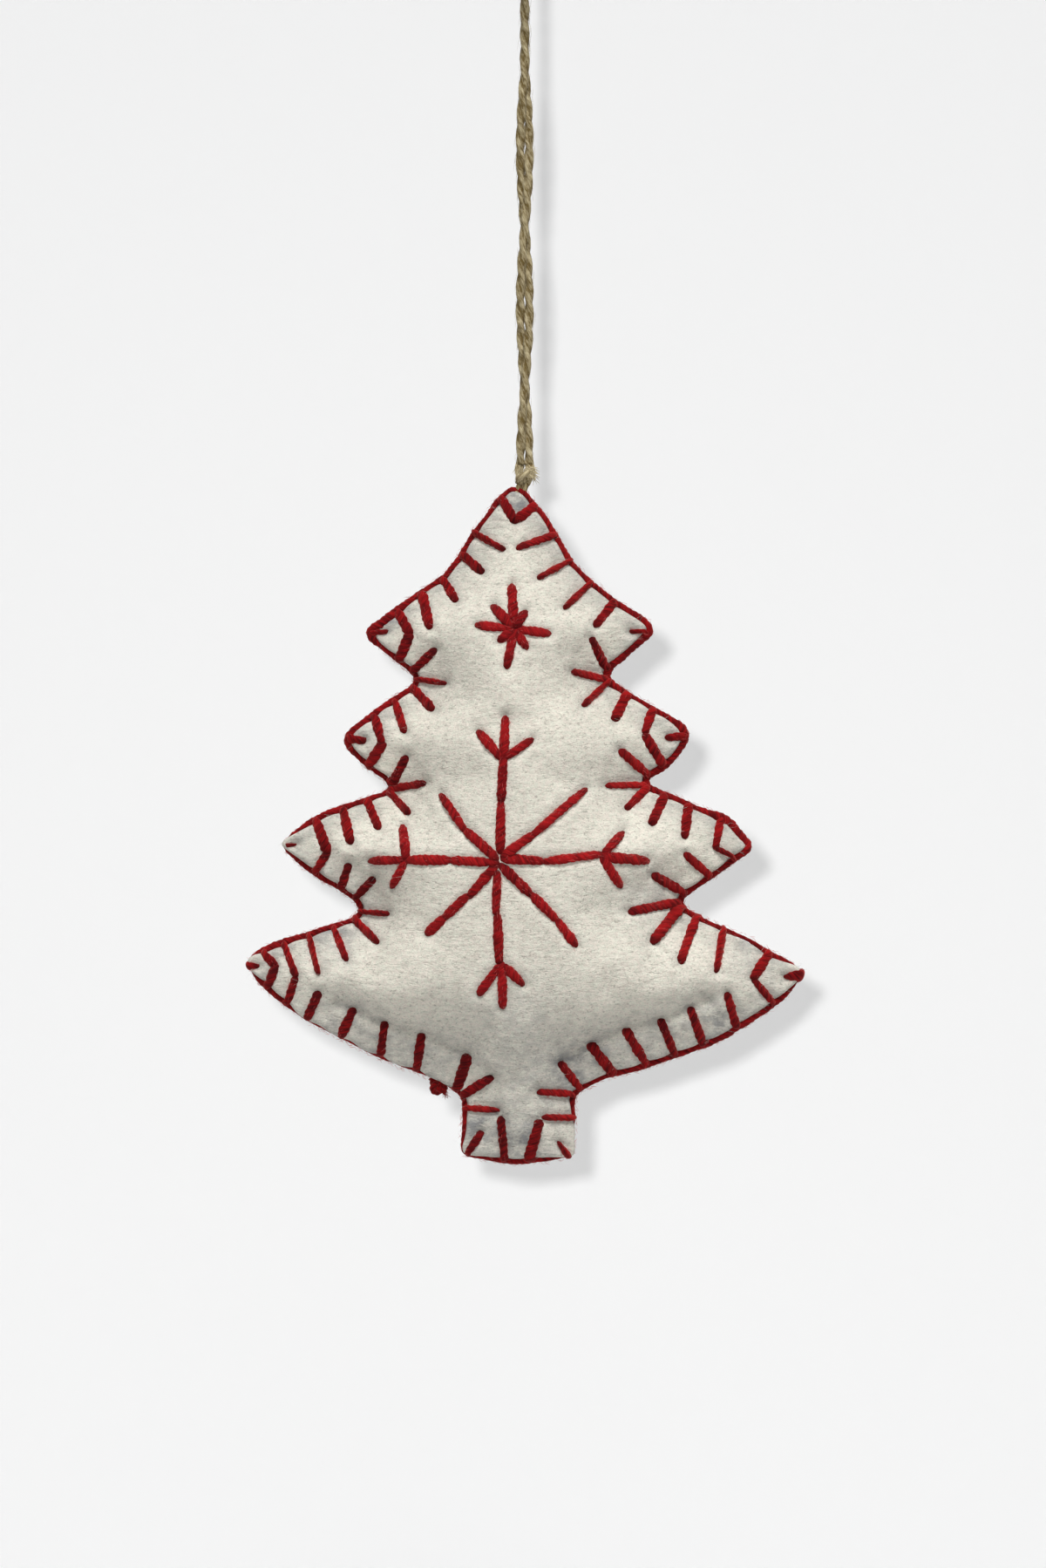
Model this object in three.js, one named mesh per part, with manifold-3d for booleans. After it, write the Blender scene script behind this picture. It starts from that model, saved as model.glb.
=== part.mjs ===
// A stuffed felt christmas tree ornament, edged in blanket stitch, on a loop of jute twine.
// Lengths are millimetres and angles degrees. +Z is up and the front of the tree faces -Y.
// The origin is the inside of the loop's top, where the ornament hangs on a hook.

import * as THREE from "three";
import { mergeVertices } from "three/addons/utils/BufferGeometryUtils.js";
import Module from "manifold-3d";

const wasm = await Module();
wasm.setup();

// Driving dimensions of the tree
const treeHeight = 125;
const treeWidth = 103;
const feltThickness = 1.5;
const crownDepth = 11;
const seamWidth = 8.5;
const seatGap = 0.3;

// Driving dimensions of the yarn and the twine
const yarnDiameter = 1.3;
const landingReach = 2.8;
const threadStep = 4.5;
const mostLandingShare = 0.6;
const foldShare = 0.96;
const yarnTailShare = 0.8;
const knotBallDiameter = 2.4;
const knotTailLength = 1.6;
const twineDiameter = 1.7;
const twineTailDiameter = 1.6;
const twineTailLength = 7;
const strandSpacing = 2.1;
const loopDrop = 93.5;
const eyeRadius = 4;
const eyeHeight = 17;
const knotRise = 1.95;
const knotWidth = 3.7;
const knotHeight = 2.7;
const tuftLength = 2.9;
const tuftDiameter = 0.9;
const pairTwist = 450;

const yarnRadius = yarnDiameter / 2;
const twineRadius = twineDiameter / 2;
const knotZ = knotRise - loopDrop;

// The picture frame that the outline and the stitches were measured in
const axisPixel = 602;
const tipPixel = 556;
const widthPixels = 641;
const heightPixels = 779;

// Each stretch of edge runs from one branch end or notch to the next, from the tip down.
const tipEdgePixels = [[586, 557], [600, 560]];
const rightEdgesPixels = [
  [[600, 560], [606.7, 567], [626.8, 591.7], [641.7, 617], [656.6, 642], [677, 664], [708, 689], [740, 710],
    [749.4, 720.7]],
  [[749.4, 720.7], [746, 730], [736, 738], [718, 753.7], [701, 767.7], [697.5, 777]],
  [[697.5, 777], [703, 782], [719, 791.6], [748.7, 809], [768, 821], [785, 834.5], [790, 845.6]],
  [[790, 845.6], [786, 854], [770.5, 875], [745, 892], [740.5, 899]],
  [[740.5, 899], [747, 902], [776, 913.5], [814, 930], [836.6, 939], [855, 957], [862.3, 967]],
  [[862.3, 967], [860, 975], [843, 989], [812, 1011.6], [786, 1029], [780.8, 1035]],
  [[780.8, 1035], [785, 1040], [812, 1055], [859, 1075], [885.7, 1092], [914, 1105], [922.5, 1118]],
  [[922.5, 1118], [916, 1129], [897, 1148], [852, 1179], [810, 1201], [743, 1224.8], [693.8, 1239],
    [659, 1257]],
  [[659, 1257], [660.6, 1275], [661.4, 1300], [661.4, 1322], [657.6, 1330]],
];
const footEdgePixels = [[657.6, 1330], [633, 1333], [585.6, 1335], [552, 1331], [533.6, 1327]];
const leftEdgesPixels = [
  [[586, 557], [571.7, 568.7], [559.6, 586], [540, 612], [523.5, 640], [508, 659.6], [482.8, 676.5],
    [440.7, 709], [421, 722.8]],
  [[421, 722.8], [424, 732.6], [443.5, 751], [467, 769], [477.5, 780]],
  [[477.5, 780], [466.7, 790], [437, 809.4], [413.7, 827.8], [400.4, 839], [395.3, 850]],
  [[395.3, 850], [398, 858], [418.8, 879.8], [441, 896], [447.3, 903.3]],
  [[447.3, 903.3], [441, 907], [400.4, 921.6], [366, 934.6], [337, 952.5], [320.2, 967]],
  [[320.2, 967], [323.6, 974], [348, 996], [375, 1014], [407, 1035], [413, 1045]],
  [[413, 1045], [404, 1052], [375, 1062], [332.5, 1076], [294.6, 1089.7], [284.5, 1097], [281.6, 1107]],
  [[281.6, 1107], [285.6, 1115], [305.7, 1136.6], [348, 1170], [386, 1190], [435, 1214.7], [492, 1236.6],
    [529.7, 1256.5]],
  [[529.7, 1256.5], [530, 1280], [529, 1310], [528, 1320], [533.6, 1327]],
];
const rungCounts = [7, 4, 4, 4, 5, 4, 6, 7, 3];
const columnShares = [0, 0.03, 0.09, 0.14, 0.22, 0.35, 0.5, 0.65, 0.78, 0.86, 0.91, 0.97, 1];

// Each blanket stitch runs from its foot on the edge to its needle hole in the felt.
const rightStitchesPixels = [
  [615, 579, 593.5, 597.5], [636, 612, 594, 629], [652.5, 644, 618, 663.5], [674.4, 669.5, 647.7, 698],
  [705, 693, 683, 718.6], [743, 729, 723, 725], [697, 763.5, 678, 732.6], [697, 774.7, 656, 770.5],
  [700, 784, 669, 810], [718, 797, 704.5, 826.6], [751.5, 813, 739, 840.6], [760, 873, 739, 843],
  [787, 845, 765, 847], [742, 889, 711, 861], [740, 898, 694, 901], [741, 904, 718, 928],
  [762, 914, 747, 946], [791, 925, 784, 961], [826, 940, 820, 972.5], [840, 987, 820, 972.5],
  [812, 1007, 785, 979], [784, 1026, 748, 1002.7], [779, 1035, 720.5, 1045], [783, 1042, 747, 1078.6],
  [798, 1052, 778.6, 1102], [831, 1067, 821, 1113], [881, 1092, 863.4, 1122], [888, 1149, 863.4, 1123],
  [919, 1120, 899, 1121], [846, 1176, 833, 1139], [809, 1199, 791, 1155.6], [774, 1212, 757, 1169],
  [742, 1224, 717, 1180], [704, 1236, 677, 1197], [668, 1252, 642, 1218], [658, 1258, 618, 1251],
  [659, 1281, 625, 1281], [655, 1326, 642, 1312],
];
const footStitchesPixels = [[610, 1333, 618, 1285.6], [577, 1332, 575, 1281]];
const leftStitchesPixels = [
  [533.6, 1325, 552, 1298.6], [530.5, 1269, 572, 1272.6], [530.5, 1256, 564, 1234], [520, 1250, 537, 1210.6],
  [477, 1228, 484, 1185.7], [434, 1212, 442, 1172], [389, 1190, 406, 1157], [352.6, 1171, 366, 1138],
  [328, 1153, 340, 1121], [326, 1081, 340, 1119], [303, 1133, 316, 1108.7], [303, 1089, 316, 1107.6],
  [285, 1108, 300, 1109], [354, 1070, 366, 1116.5], [384, 1061, 398, 1101], [406, 1053, 434, 1081],
  [413, 1046, 446, 1048], [406, 1033, 430, 1007], [388, 1022, 400.6, 991.5], [360, 1005, 376, 978],
  [362, 939, 376, 977], [323, 968, 340, 969], [392, 927, 403, 967], [421, 916, 435, 951],
  [446, 908, 470, 934], [449, 904, 489, 898], [446, 897, 467, 868], [420, 878, 439, 853],
  [427, 820, 439, 853], [399, 848, 418, 850.5], [450, 804, 465, 840.6], [474, 789, 497, 815],
  [477, 780, 512, 784.5], [471, 770, 500, 745], [455, 758, 470.5, 727.5], [456, 700, 470.5, 727.5],
  [425, 728, 444, 725], [481, 680, 494, 721], [508, 663, 523.5, 690.5], [527, 637.6, 553.6, 658],
  [544, 611, 577, 631], [571, 572, 591, 599.7],
];

// The small star and the large snowflake, each stitch from one needle hole to the next
const starStitchesPixels = [
  [590, 723, 587, 671.6], [590, 723, 603, 702], [590, 723, 631, 728], [590, 723, 605, 745.5],
  [590, 723, 581, 768.4], [590, 723, 572, 737], [590, 723, 546, 718], [590, 723, 565.6, 696],
];
const snowflakeStitchesPixels = [
  [574, 979, 575, 918], [575, 922, 578, 866], [578, 872, 580, 822], [576, 871, 549, 839],
  [578, 871, 611, 848], [575, 984, 624, 987], [621, 988, 690, 979], [686, 982, 743, 987],
  [689, 982, 714, 954], [689, 981, 711.6, 1017], [571, 998, 569, 1049], [571, 1047, 573, 1105],
  [576, 1101, 577, 1155], [575, 1104, 549, 1139], [576, 1104, 601, 1128], [573, 989, 516, 986],
  [520, 986, 465, 986], [469, 986, 424, 987], [468, 988, 463, 947], [468, 984, 450, 1018],
  [572, 986, 534, 951], [536, 955, 506.6, 911], [575, 983, 612, 956], [609, 959, 671.4, 905],
  [573, 990, 611, 1027], [608, 1023, 640, 1056], [637, 1052, 661, 1084], [570, 991, 537, 1029],
  [539, 1024, 509, 1053], [512, 1050, 490, 1071],
];

// The end of the twine between the two felts, and the knot that ends the yarn
const tailEndPixels = [595, 601];
const yarnEndPixels = [504, 1244];

const materials = {
  feltFront: new THREE.MeshStandardMaterial({ color: 0xe0dccf, roughness: 0.98, metalness: 0 }),
  feltBack: new THREE.MeshStandardMaterial({ color: 0xdcd8cb, roughness: 0.98, metalness: 0 }),
  fill: new THREE.MeshStandardMaterial({ color: 0xf4f3ee, roughness: 1, metalness: 0 }),
  yarnEdge: new THREE.MeshStandardMaterial({ color: 0x96141a, roughness: 0.9, metalness: 0 }),
  yarnStar: new THREE.MeshStandardMaterial({ color: 0xa0161b, roughness: 0.9, metalness: 0 }),
  yarnFlake: new THREE.MeshStandardMaterial({ color: 0xa3161c, roughness: 0.9, metalness: 0 }),
  yarnEnd: new THREE.MeshStandardMaterial({ color: 0x8c1218, roughness: 0.9, metalness: 0 }),
  twine: new THREE.MeshStandardMaterial({ color: 0xa89468, roughness: 0.92, metalness: 0 }),
  twineKnot: new THREE.MeshStandardMaterial({ color: 0xb09c70, roughness: 0.92, metalness: 0 }),
  twineTail: new THREE.MeshStandardMaterial({ color: 0x9e8a5e, roughness: 0.92, metalness: 0 }),
};

// A point of the picture as a point of the tree's flat pattern, x across and y up.
function place([column, row]) {
  return new THREE.Vector2(
    ((column - axisPixel) * treeWidth) / widthPixels,
    -loopDrop - ((row - tipPixel) * treeHeight) / heightPixels,
  );
}

// The edge as a ring of stretches, clockwise from the tip as the front shows it.
function edgeRing() {
  const turned = (stretch) => [...stretch].reverse();
  return [
    tipEdgePixels,
    ...rightEdgesPixels,
    footEdgePixels,
    ...[...leftEdgesPixels].reverse().map(turned),
  ].map((stretch) => stretch.map(place));
}

// The direction into the tree, square to the way from one edge point to a later one.
function inwardOf(from, to) {
  const along = to.clone().sub(from).normalize();
  return new THREE.Vector2(along.y, -along.x);
}

// Points of a closed edge moved into the tree by a distance, or out of it by a negative one.
function insetLoop(loop, distance) {
  return loop.map((point, k) => {
    const inward = inwardOf(loop.at(k - 1), loop[(k + 1) % loop.length]);
    return point.clone().addScaledVector(inward, distance);
  });
}

// The ring of stretches moved into the tree by a distance.
function insetRing(ring, distance) {
  const moved = insetLoop(ring.flatMap((stretch) => stretch.slice(1)), distance);
  let next = 0;
  return ring.map((stretch) => {
    const start = moved.at(next - 1);
    next += stretch.length - 1;
    return [start, ...moved.slice(next - stretch.length + 1, next)];
  });
}

// Points along a stretch, closer together at its ends, where branch ends and notches turn.
function easedPoints(stretch, count) {
  const curve = new THREE.SplineCurve(stretch);
  const eased = (i) => (1 - Math.cos((Math.PI * i) / count)) / 2;
  return Array.from({ length: count + 1 }, (_, i) => curve.getPointAt(eased(i)));
}

// The rungs of the felt's net: pairs of edge points, and the columns of points between them.
function netRows(ring) {
  const sides = rungCounts.length;
  const rows = [];
  const atShare = (curve, share) => curve.getPointAt(share);
  const tip = new THREE.SplineCurve(ring[0]);
  rows.push(columnShares.map((share) => atShare(tip, share)));
  rungCounts.forEach((count, k) => {
    const right = easedPoints(ring[1 + k], count);
    const left = easedPoints(ring[ring.length - 1 - k], count).reverse();
    for (let i = 1; i <= count; i += 1) {
      const foot = k === sides - 1 && i === count;
      if (!foot) rows.push(columnShares.map((share) => left[i].clone().lerp(right[i], share)));
    }
  });
  const foot = new THREE.SplineCurve(ring[1 + sides]);
  rows.push(columnShares.map((share) => atShare(foot, 1 - share)));
  return rows;
}

const feltRing = insetRing(edgeRing(), yarnDiameter + seatGap);

// Short pieces of the felt's edge, which hold the two felts together.
const edgePieceCount = 12;
const edgePieces = feltRing.flatMap((stretch) => {
  const points = new THREE.SplineCurve(stretch).getSpacedPoints(edgePieceCount);
  return points.slice(1).map((point, i) => ({
    middle: point.clone().lerp(points[i], 1 / 2),
    length: point.distanceTo(points[i]),
  }));
});

// How far the stuffing lifts a felt: little along the sewn edge, and nearly crownDepth far from it.
function crownAt(point) {
  const pull = edgePieces.reduce(
    (sum, piece) => sum + piece.length / point.distanceTo(piece.middle) ** 3,
    0,
  );
  const fromEdge = Math.sqrt(2 / pull);
  return crownDepth * (1 - Math.exp(-((fromEdge / seamWidth) ** 2)));
}

// A closed solid between two depths over a net of points. Depths run along Y.
function netSolid(rows, frontDepth, backDepth) {
  const columns = rows[0].length;
  const flat = rows.flat();
  const corner = (point, depth) => [point.x, depth(point), point.y];
  const positions = [frontDepth, backDepth].flatMap((depth) => flat.map((p) => corner(p, depth)));
  const behind = flat.length;
  const at = (i, j) => i * columns + j;
  const faces = [];
  for (let i = 0; i < rows.length - 1; i += 1) {
    for (let j = 0; j < columns - 1; j += 1) {
      const [a, b, c, d] = [at(i, j), at(i + 1, j), at(i + 1, j + 1), at(i, j + 1)];
      faces.push([a, b, c], [a, c, d]);
      faces.push([c + behind, b + behind, a + behind], [d + behind, c + behind, a + behind]);
    }
  }
  const last = rows.length - 1;
  const loop = [
    ...rows.map((_, i) => at(i, 0)),
    ...rows[0].slice(1).map((_, j) => at(last, j + 1)),
    ...rows.slice(1).map((_, i) => at(last - 1 - i, columns - 1)),
    ...rows[0].slice(1, -1).map((_, j) => at(0, columns - 2 - j)),
  ];
  loop.forEach((a, k) => {
    const b = loop[(k + 1) % loop.length];
    faces.push([b, a, a + behind], [b, a + behind, b + behind]);
  });
  const geometry = new THREE.BufferGeometry();
  geometry.setAttribute("position", new THREE.Float32BufferAttribute(positions.flat(), 3));
  geometry.setIndex(faces.flat());
  return solidOf(geometry);
}

// A closed geometry as a solid for joining and cutting.
function solidOf(geometry) {
  const bare = geometry.clone();
  bare.deleteAttribute("normal");
  bare.deleteAttribute("uv");
  const merged = mergeVertices(bare);
  return new wasm.Manifold(
    new wasm.Mesh({
      numProp: 3,
      vertProperties: new Float32Array(merged.attributes.position.array),
      triVerts: new Uint32Array(merged.index.array),
    }),
  );
}

function geometryOf(solid) {
  const mesh = solid.getMesh();
  const geometry = new THREE.BufferGeometry();
  geometry.setAttribute("position", new THREE.BufferAttribute(mesh.vertProperties, 3));
  geometry.setIndex(new THREE.BufferAttribute(mesh.triVerts, 1));
  geometry.computeVertexNormals();
  return geometry;
}

const joined = (solids) => solids.reduce((sum, solid) => sum.add(solid));

// A curve that a swept section meets at each of its own points.
class ThreadPath extends THREE.CatmullRomCurve3 {
  getUtoTmapping(share) {
    return share;
  }
}

// A round thread along points, as a prism swept from point to point.
function thread(points, radius, sides) {
  const section = new THREE.Shape(
    Array.from({ length: sides }, (_, i) => {
      const angle = (2 * Math.PI * i) / sides;
      return new THREE.Vector2(Math.cos(angle) * radius, Math.sin(angle) * radius);
    }),
  );
  return new THREE.ExtrudeGeometry(section, {
    steps: points.length - 1,
    extrudePath: new ThreadPath(points, false, "centripetal"),
    bevelEnabled: false,
  });
}

// Felts, stuffing and the twine's end between them

const netOfFelt = netRows(feltRing);
const crowns = new Map();
netOfFelt.forEach((row, i) =>
  row.forEach((point, j) => {
    const edge = i === 0 || j === 0 || i === netOfFelt.length - 1 || j === row.length - 1;
    crowns.set(point, edge ? 0 : crownAt(point));
  }),
);

const feltFace = (point) => seatGap / 2 + crowns.get(point);
const feltBackFace = (point) => feltFace(point) + feltThickness;

const knotBottom = knotZ - knotHeight / 2 - seatGap;
const tailEnd = place(tailEndPixels);
const tailPath = [
  new THREE.Vector3(0, 0, knotBottom),
  new THREE.Vector3(0, 0, knotBottom - twineTailLength / 3),
  new THREE.Vector3(tailEnd.x, 0, knotBottom - twineTailLength),
];
const tailSides = 8;
const twineTails = thread(tailPath, twineTailDiameter / 2, tailSides);
const channelEnd = tailPath[2].clone().add(new THREE.Vector3(0, 0, -seatGap));
const channelPath = [tailPath[0], tailPath[1], channelEnd];
const tailChannel = solidOf(thread(channelPath, twineTailDiameter / 2 + seatGap, tailSides));

const frontFelt = netSolid(netOfFelt, (p) => -feltBackFace(p), (p) => -feltFace(p)).subtract(tailChannel);
const backFelt = netSolid(netOfFelt, feltFace, feltBackFace).subtract(tailChannel);

const stuffingMargin = 2;
const stuffingTop = 5;
const leastFillShare = 0.5;
const netOfStuffing = netOfFelt
  .slice(stuffingTop, -stuffingMargin)
  .map((row) => row.slice(stuffingMargin, -stuffingMargin));
const fillFace = (point) => Math.max(feltFace(point) - seatGap, feltFace(point) * leastFillShare);
const stuffing = netSolid(netOfStuffing, (p) => -fillFace(p), fillFace).subtract(tailChannel);

// Yarn on the felt

const edgeThreadSides = 4;
const pictureThreadSides = 6;
const rimDepth = seatGap / 2 + feltThickness;
const feltSurface = new THREE.Mesh(geometryOf(frontFelt));
const sightline = new THREE.Raycaster();

function feltUnder(point) {
  sightline.set(onFront(point, treeHeight), new THREE.Vector3(0, 1, 0));
  return sightline.intersectObject(feltSurface)[0];
}

// The depth of a thread's middle where it rests on the front felt, or beside its rim. The steepest
// of the faces under the thread's width sets how far it stands off.
function threadDepth(point) {
  const under = feltUnder(point);
  if (!under) return rimDepth + seatGap + yarnRadius;
  const beside = [[0, 1], [1, 0], [0, -1], [-1, 0]].map(([across, up]) =>
    feltUnder(point.clone().add(new THREE.Vector2(across, up).multiplyScalar(yarnRadius))),
  );
  const faces = [under, ...beside].filter(Boolean).map((hit) => Math.abs(hit.face.normal.y));
  return -under.point.y + (seatGap + yarnRadius) / Math.min(...faces);
}

const onFront = (point, depth) => new THREE.Vector3(point.x, -depth, point.y);

// A thread's way over the front felt between two points, in steps short enough to follow the crown.
function wayOver(from, to) {
  const steps = Math.ceil(from.distanceTo(to) / threadStep);
  return Array.from({ length: steps + 1 }, (_, i) => {
    const point = from.clone().lerp(to, i / steps);
    return onFront(point, threadDepth(point));
  });
}

// One stitch laid on the front felt between two points of the picture.
function laidStitch([fromColumn, fromRow, toColumn, toRow]) {
  const way = wayOver(place([fromColumn, fromRow]), place([toColumn, toRow]));
  return solidOf(thread(way, yarnRadius, pictureThreadSides));
}

// The felt's own edge, clockwise from the right of the tip as the front shows it.
const feltEdge = [
  ...netOfFelt.slice(1, -1).map((row) => row[row.length - 1]),
  ...[...netOfFelt[netOfFelt.length - 1]].reverse(),
  ...netOfFelt.slice(1, -1).map((row) => row[0]).reverse(),
  ...netOfFelt[0],
];

// The point of a line of points nearest to a point.
function nearestOn(line, point) {
  return line.slice(1).reduce((best, end, i) => {
    const start = line[i];
    const along = end.clone().sub(start);
    const share = THREE.MathUtils.clamp(point.clone().sub(start).dot(along) / along.lengthSq(), 0, 1);
    const spot = start.clone().addScaledVector(along, share);
    return !best || spot.distanceTo(point) < best.distanceTo(point) ? spot : best;
  }, null);
}

// The middle of the edge yarn: the felt's edge moved out, without the points that fold in a notch.
const yarnReach = yarnRadius + seatGap;
const closedEdge = [...feltEdge, feltEdge[0]];
const yarnLine = insetLoop(feltEdge, -yarnReach).filter(
  (point) => nearestOn(closedEdge, point).distanceTo(point) > yarnReach * foldShare,
);

// One blanket stitch: up from its front hole, round the edge yarn and down to its back hole.
function blanketStitch([footColumn, footRow, holeColumn, holeRow]) {
  const foot = nearestOn(yarnLine, place([footColumn, footRow]));
  const hole = place([holeColumn, holeRow]);
  const landing = foot.clone().lerp(hole, Math.min(landingReach / foot.distanceTo(hole), mostLandingShare));
  const front = [...wayOver(hole, landing), onFront(foot, rimDepth + seatGap + yarnRadius)];
  const back = front.map((point) => new THREE.Vector3(point.x, -point.y, point.z)).reverse();
  return solidOf(thread([...front, ...back], yarnRadius, edgeThreadSides));
}

const tailReach = twineTailDiameter / 2 + seatGap + yarnRadius;
const tailLine = new THREE.Line3(tailPath[0], tailPath[2]);
const clearOfTail = (point) => {
  const spot = tailLine.closestPointToPoint(onFront(point, 0), true, new THREE.Vector3());
  return spot.distanceTo(onFront(point, 0)) > tailReach;
};
const edgeYarn = solidOf(thread(
  yarnLine.filter(clearOfTail).map((point) => onFront(point, 0)),
  yarnRadius,
  edgeThreadSides,
));
const stitchesPixels = [...rightStitchesPixels, ...footStitchesPixels, ...leftStitchesPixels];
const blanketStitches = stitchesPixels.map(blanketStitch);

// Knots and the hanging loop

const knotLevels = 10;
const knotTurns = 12;
const waistShare = 0.12;
const waistSharpness = 8;

// A round knot of two wraps about the Z axis, drawn in between them.
function knotSolid(width, height) {
  const profile = Array.from({ length: knotLevels + 1 }, (_, i) => {
    const angle = (Math.PI * i) / knotLevels - Math.PI / 2;
    const waist = 1 - waistShare * Math.cos(angle) ** waistSharpness;
    const onAxis = i === 0 || i === knotLevels;
    const reach = onAxis ? 0 : (Math.cos(angle) * waist * width) / 2;
    return new THREE.Vector2(reach, (Math.sin(angle) * height) / 2);
  });
  return solidOf(new THREE.LatheGeometry(profile, knotTurns).rotateX(Math.PI / 2));
}

const tuftPath = [
  new THREE.Vector3(),
  new THREE.Vector3(tuftLength / 2, 0, 0),
  new THREE.Vector3(tuftLength, 0, -tuftDiameter / 2),
];
const tuft = thread(tuftPath, tuftDiameter / 2, pictureThreadSides);
const loopKnot = knotSolid(knotWidth, knotHeight).add(solidOf(tuft));

const yarnEndTail = thread(
  [new THREE.Vector3(), new THREE.Vector3(0, 0, -knotBallDiameter / 2 - knotTailLength)],
  yarnRadius * yarnTailShare,
  pictureThreadSides,
);
const yarnEndKnot = knotSolid(knotBallDiameter, knotBallDiameter).add(solidOf(yarnEndTail));

// How the strands part below the eye: the share of its height, and the share of its width there.
const flareShares = [[0.3, 0.13], [0.55, 0.55], [0.76, 0.97]];
const twistSteps = 15;
const loopSides = 8;

// The loop's way: up one strand, round the eye and down the other, half a turn behind it.
function loopPath() {
  const foot = knotZ + knotHeight / 2 + seatGap;
  const eyeFoot = -eyeHeight;
  const eyeTop = twineRadius;
  const strand = [];
  for (let i = 0; i <= twistSteps; i += 1) {
    const share = i / twistSteps;
    const turn = THREE.MathUtils.degToRad(pairTwist * share);
    const reach = strandSpacing / 2;
    strand.push(new THREE.Vector3(
      Math.cos(turn) * reach,
      Math.sin(turn) * reach,
      THREE.MathUtils.lerp(foot, eyeFoot, share),
    ));
  }
  flareShares.forEach(([riseShare, spreadShare]) => {
    strand.push(new THREE.Vector3(
      0,
      THREE.MathUtils.lerp(strandSpacing / 2, eyeRadius, spreadShare),
      THREE.MathUtils.lerp(eyeFoot, eyeTop, riseShare),
    ));
  });
  strand.push(new THREE.Vector3(0, eyeRadius * Math.SQRT1_2, eyeTop - eyeRadius * (1 - Math.SQRT1_2)));
  const across = (point) => new THREE.Vector3(-point.x, -point.y, point.z);
  return [...strand, new THREE.Vector3(0, 0, eyeTop), ...strand.map(across).reverse()];
}
const twineLoop = thread(loopPath(), twineRadius, loopSides);

// The assembly

function piece(name, geometry, material, position = new THREE.Vector3()) {
  const mesh = new THREE.Mesh(geometry, material);
  mesh.name = name;
  mesh.position.copy(position);
  return mesh;
}

const hanger = new THREE.Group();
hanger.add(piece("twine_loop", twineLoop, materials.twine));

const knot = new THREE.Group();
knot.position.set(0, 0, knotZ);
knot.add(piece("loop_knot", geometryOf(loopKnot), materials.twineKnot));

// The yarn's end knot hangs below the edge yarn, square to it.
const yarnEndSeat = nearestOn(yarnLine, place(yarnEndPixels));
const yarnEndDrop = yarnEndSeat.clone().sub(nearestOn(closedEdge, yarnEndSeat));
yarnEndDrop.setLength(yarnReach + knotBallDiameter / 2);
const yarnEndPlace = onFront(yarnEndSeat.clone().add(yarnEndDrop), 0);

const tree = new THREE.Group();
tree.add(piece("twine_tails", twineTails, materials.twineTail));
tree.add(piece("front_felt", geometryOf(frontFelt), materials.feltFront));
tree.add(piece("back_felt", geometryOf(backFelt), materials.feltBack));
tree.add(piece("stuffing", geometryOf(stuffing), materials.fill));
tree.add(piece("blanket_stitch", geometryOf(joined([edgeYarn, ...blanketStitches])), materials.yarnEdge));
tree.add(piece("star_stitches", geometryOf(joined(starStitchesPixels.map(laidStitch))), materials.yarnStar));
tree.add(piece(
  "snowflake_stitches",
  geometryOf(joined(snowflakeStitchesPixels.map(laidStitch))),
  materials.yarnFlake,
));
tree.add(piece("yarn_end_knot", geometryOf(yarnEndKnot), materials.yarnEnd, yarnEndPlace));

const ornament = new THREE.Group();
ornament.add(hanger, knot, tree);

export default ornament;
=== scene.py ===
"""The looks of the felt christmas tree ornament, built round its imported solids.

Lengths are metres in the row frame: +Z up along the twine, the front faces -Y and the origin is
the inside of the loop's top. Points of the flat pattern are (x, z) pairs.
"""

from __future__ import annotations

import logging
import math
from dataclasses import dataclass, field
from enum import Enum

import bpy
import numpy as np
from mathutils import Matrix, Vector, noise
from mathutils.bvhtree import BVHTree
from mathutils.geometry import delaunay_2d_cdt

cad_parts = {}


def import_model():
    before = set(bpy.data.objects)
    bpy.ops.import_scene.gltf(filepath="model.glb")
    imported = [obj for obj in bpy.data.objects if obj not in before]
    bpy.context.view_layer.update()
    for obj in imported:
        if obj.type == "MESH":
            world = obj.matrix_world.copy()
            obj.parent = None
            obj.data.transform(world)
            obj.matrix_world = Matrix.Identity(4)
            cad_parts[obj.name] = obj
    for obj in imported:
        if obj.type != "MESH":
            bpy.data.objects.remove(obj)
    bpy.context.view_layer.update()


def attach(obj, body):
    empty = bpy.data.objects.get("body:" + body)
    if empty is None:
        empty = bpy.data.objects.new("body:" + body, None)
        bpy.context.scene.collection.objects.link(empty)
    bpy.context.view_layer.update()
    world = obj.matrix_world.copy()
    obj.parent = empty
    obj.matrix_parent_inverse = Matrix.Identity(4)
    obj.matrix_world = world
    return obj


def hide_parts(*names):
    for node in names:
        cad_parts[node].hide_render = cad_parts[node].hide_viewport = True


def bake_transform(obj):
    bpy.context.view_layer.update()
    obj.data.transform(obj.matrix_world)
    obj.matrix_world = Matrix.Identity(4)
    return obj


MM = 0.001
CHUNK = 3000  # points measured at a time, which keeps the memory small
FULL_TURN = 2 * math.pi
LOG = logging.getLogger("ornament")
Colour = tuple[float, float, float, float]
Spots = tuple[tuple[float, ...], ...]
Range = tuple[float, float]


def srgb(red: int, green: int, blue: int) -> Colour:
    """A screen colour of 0 to 255 as a linear one."""
    return (*(((c / 255 + 0.055) / 1.055) ** 2.4 for c in (red, green, blue)), 1.0)


# ---------------------------------------------------------------- lines and nets


def run_of(line: np.ndarray) -> np.ndarray:
    """The distance from a line's start to each of its points."""
    return np.concatenate([[0], np.cumsum(np.linalg.norm(np.diff(line, axis=0), axis=1))])


def faded(gap: np.ndarray, reach: float, power: float = 2) -> np.ndarray:
    """1 where a gap is nothing, falling softly to nothing beyond a reach."""
    return np.exp(-((gap / reach) ** power))


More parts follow.
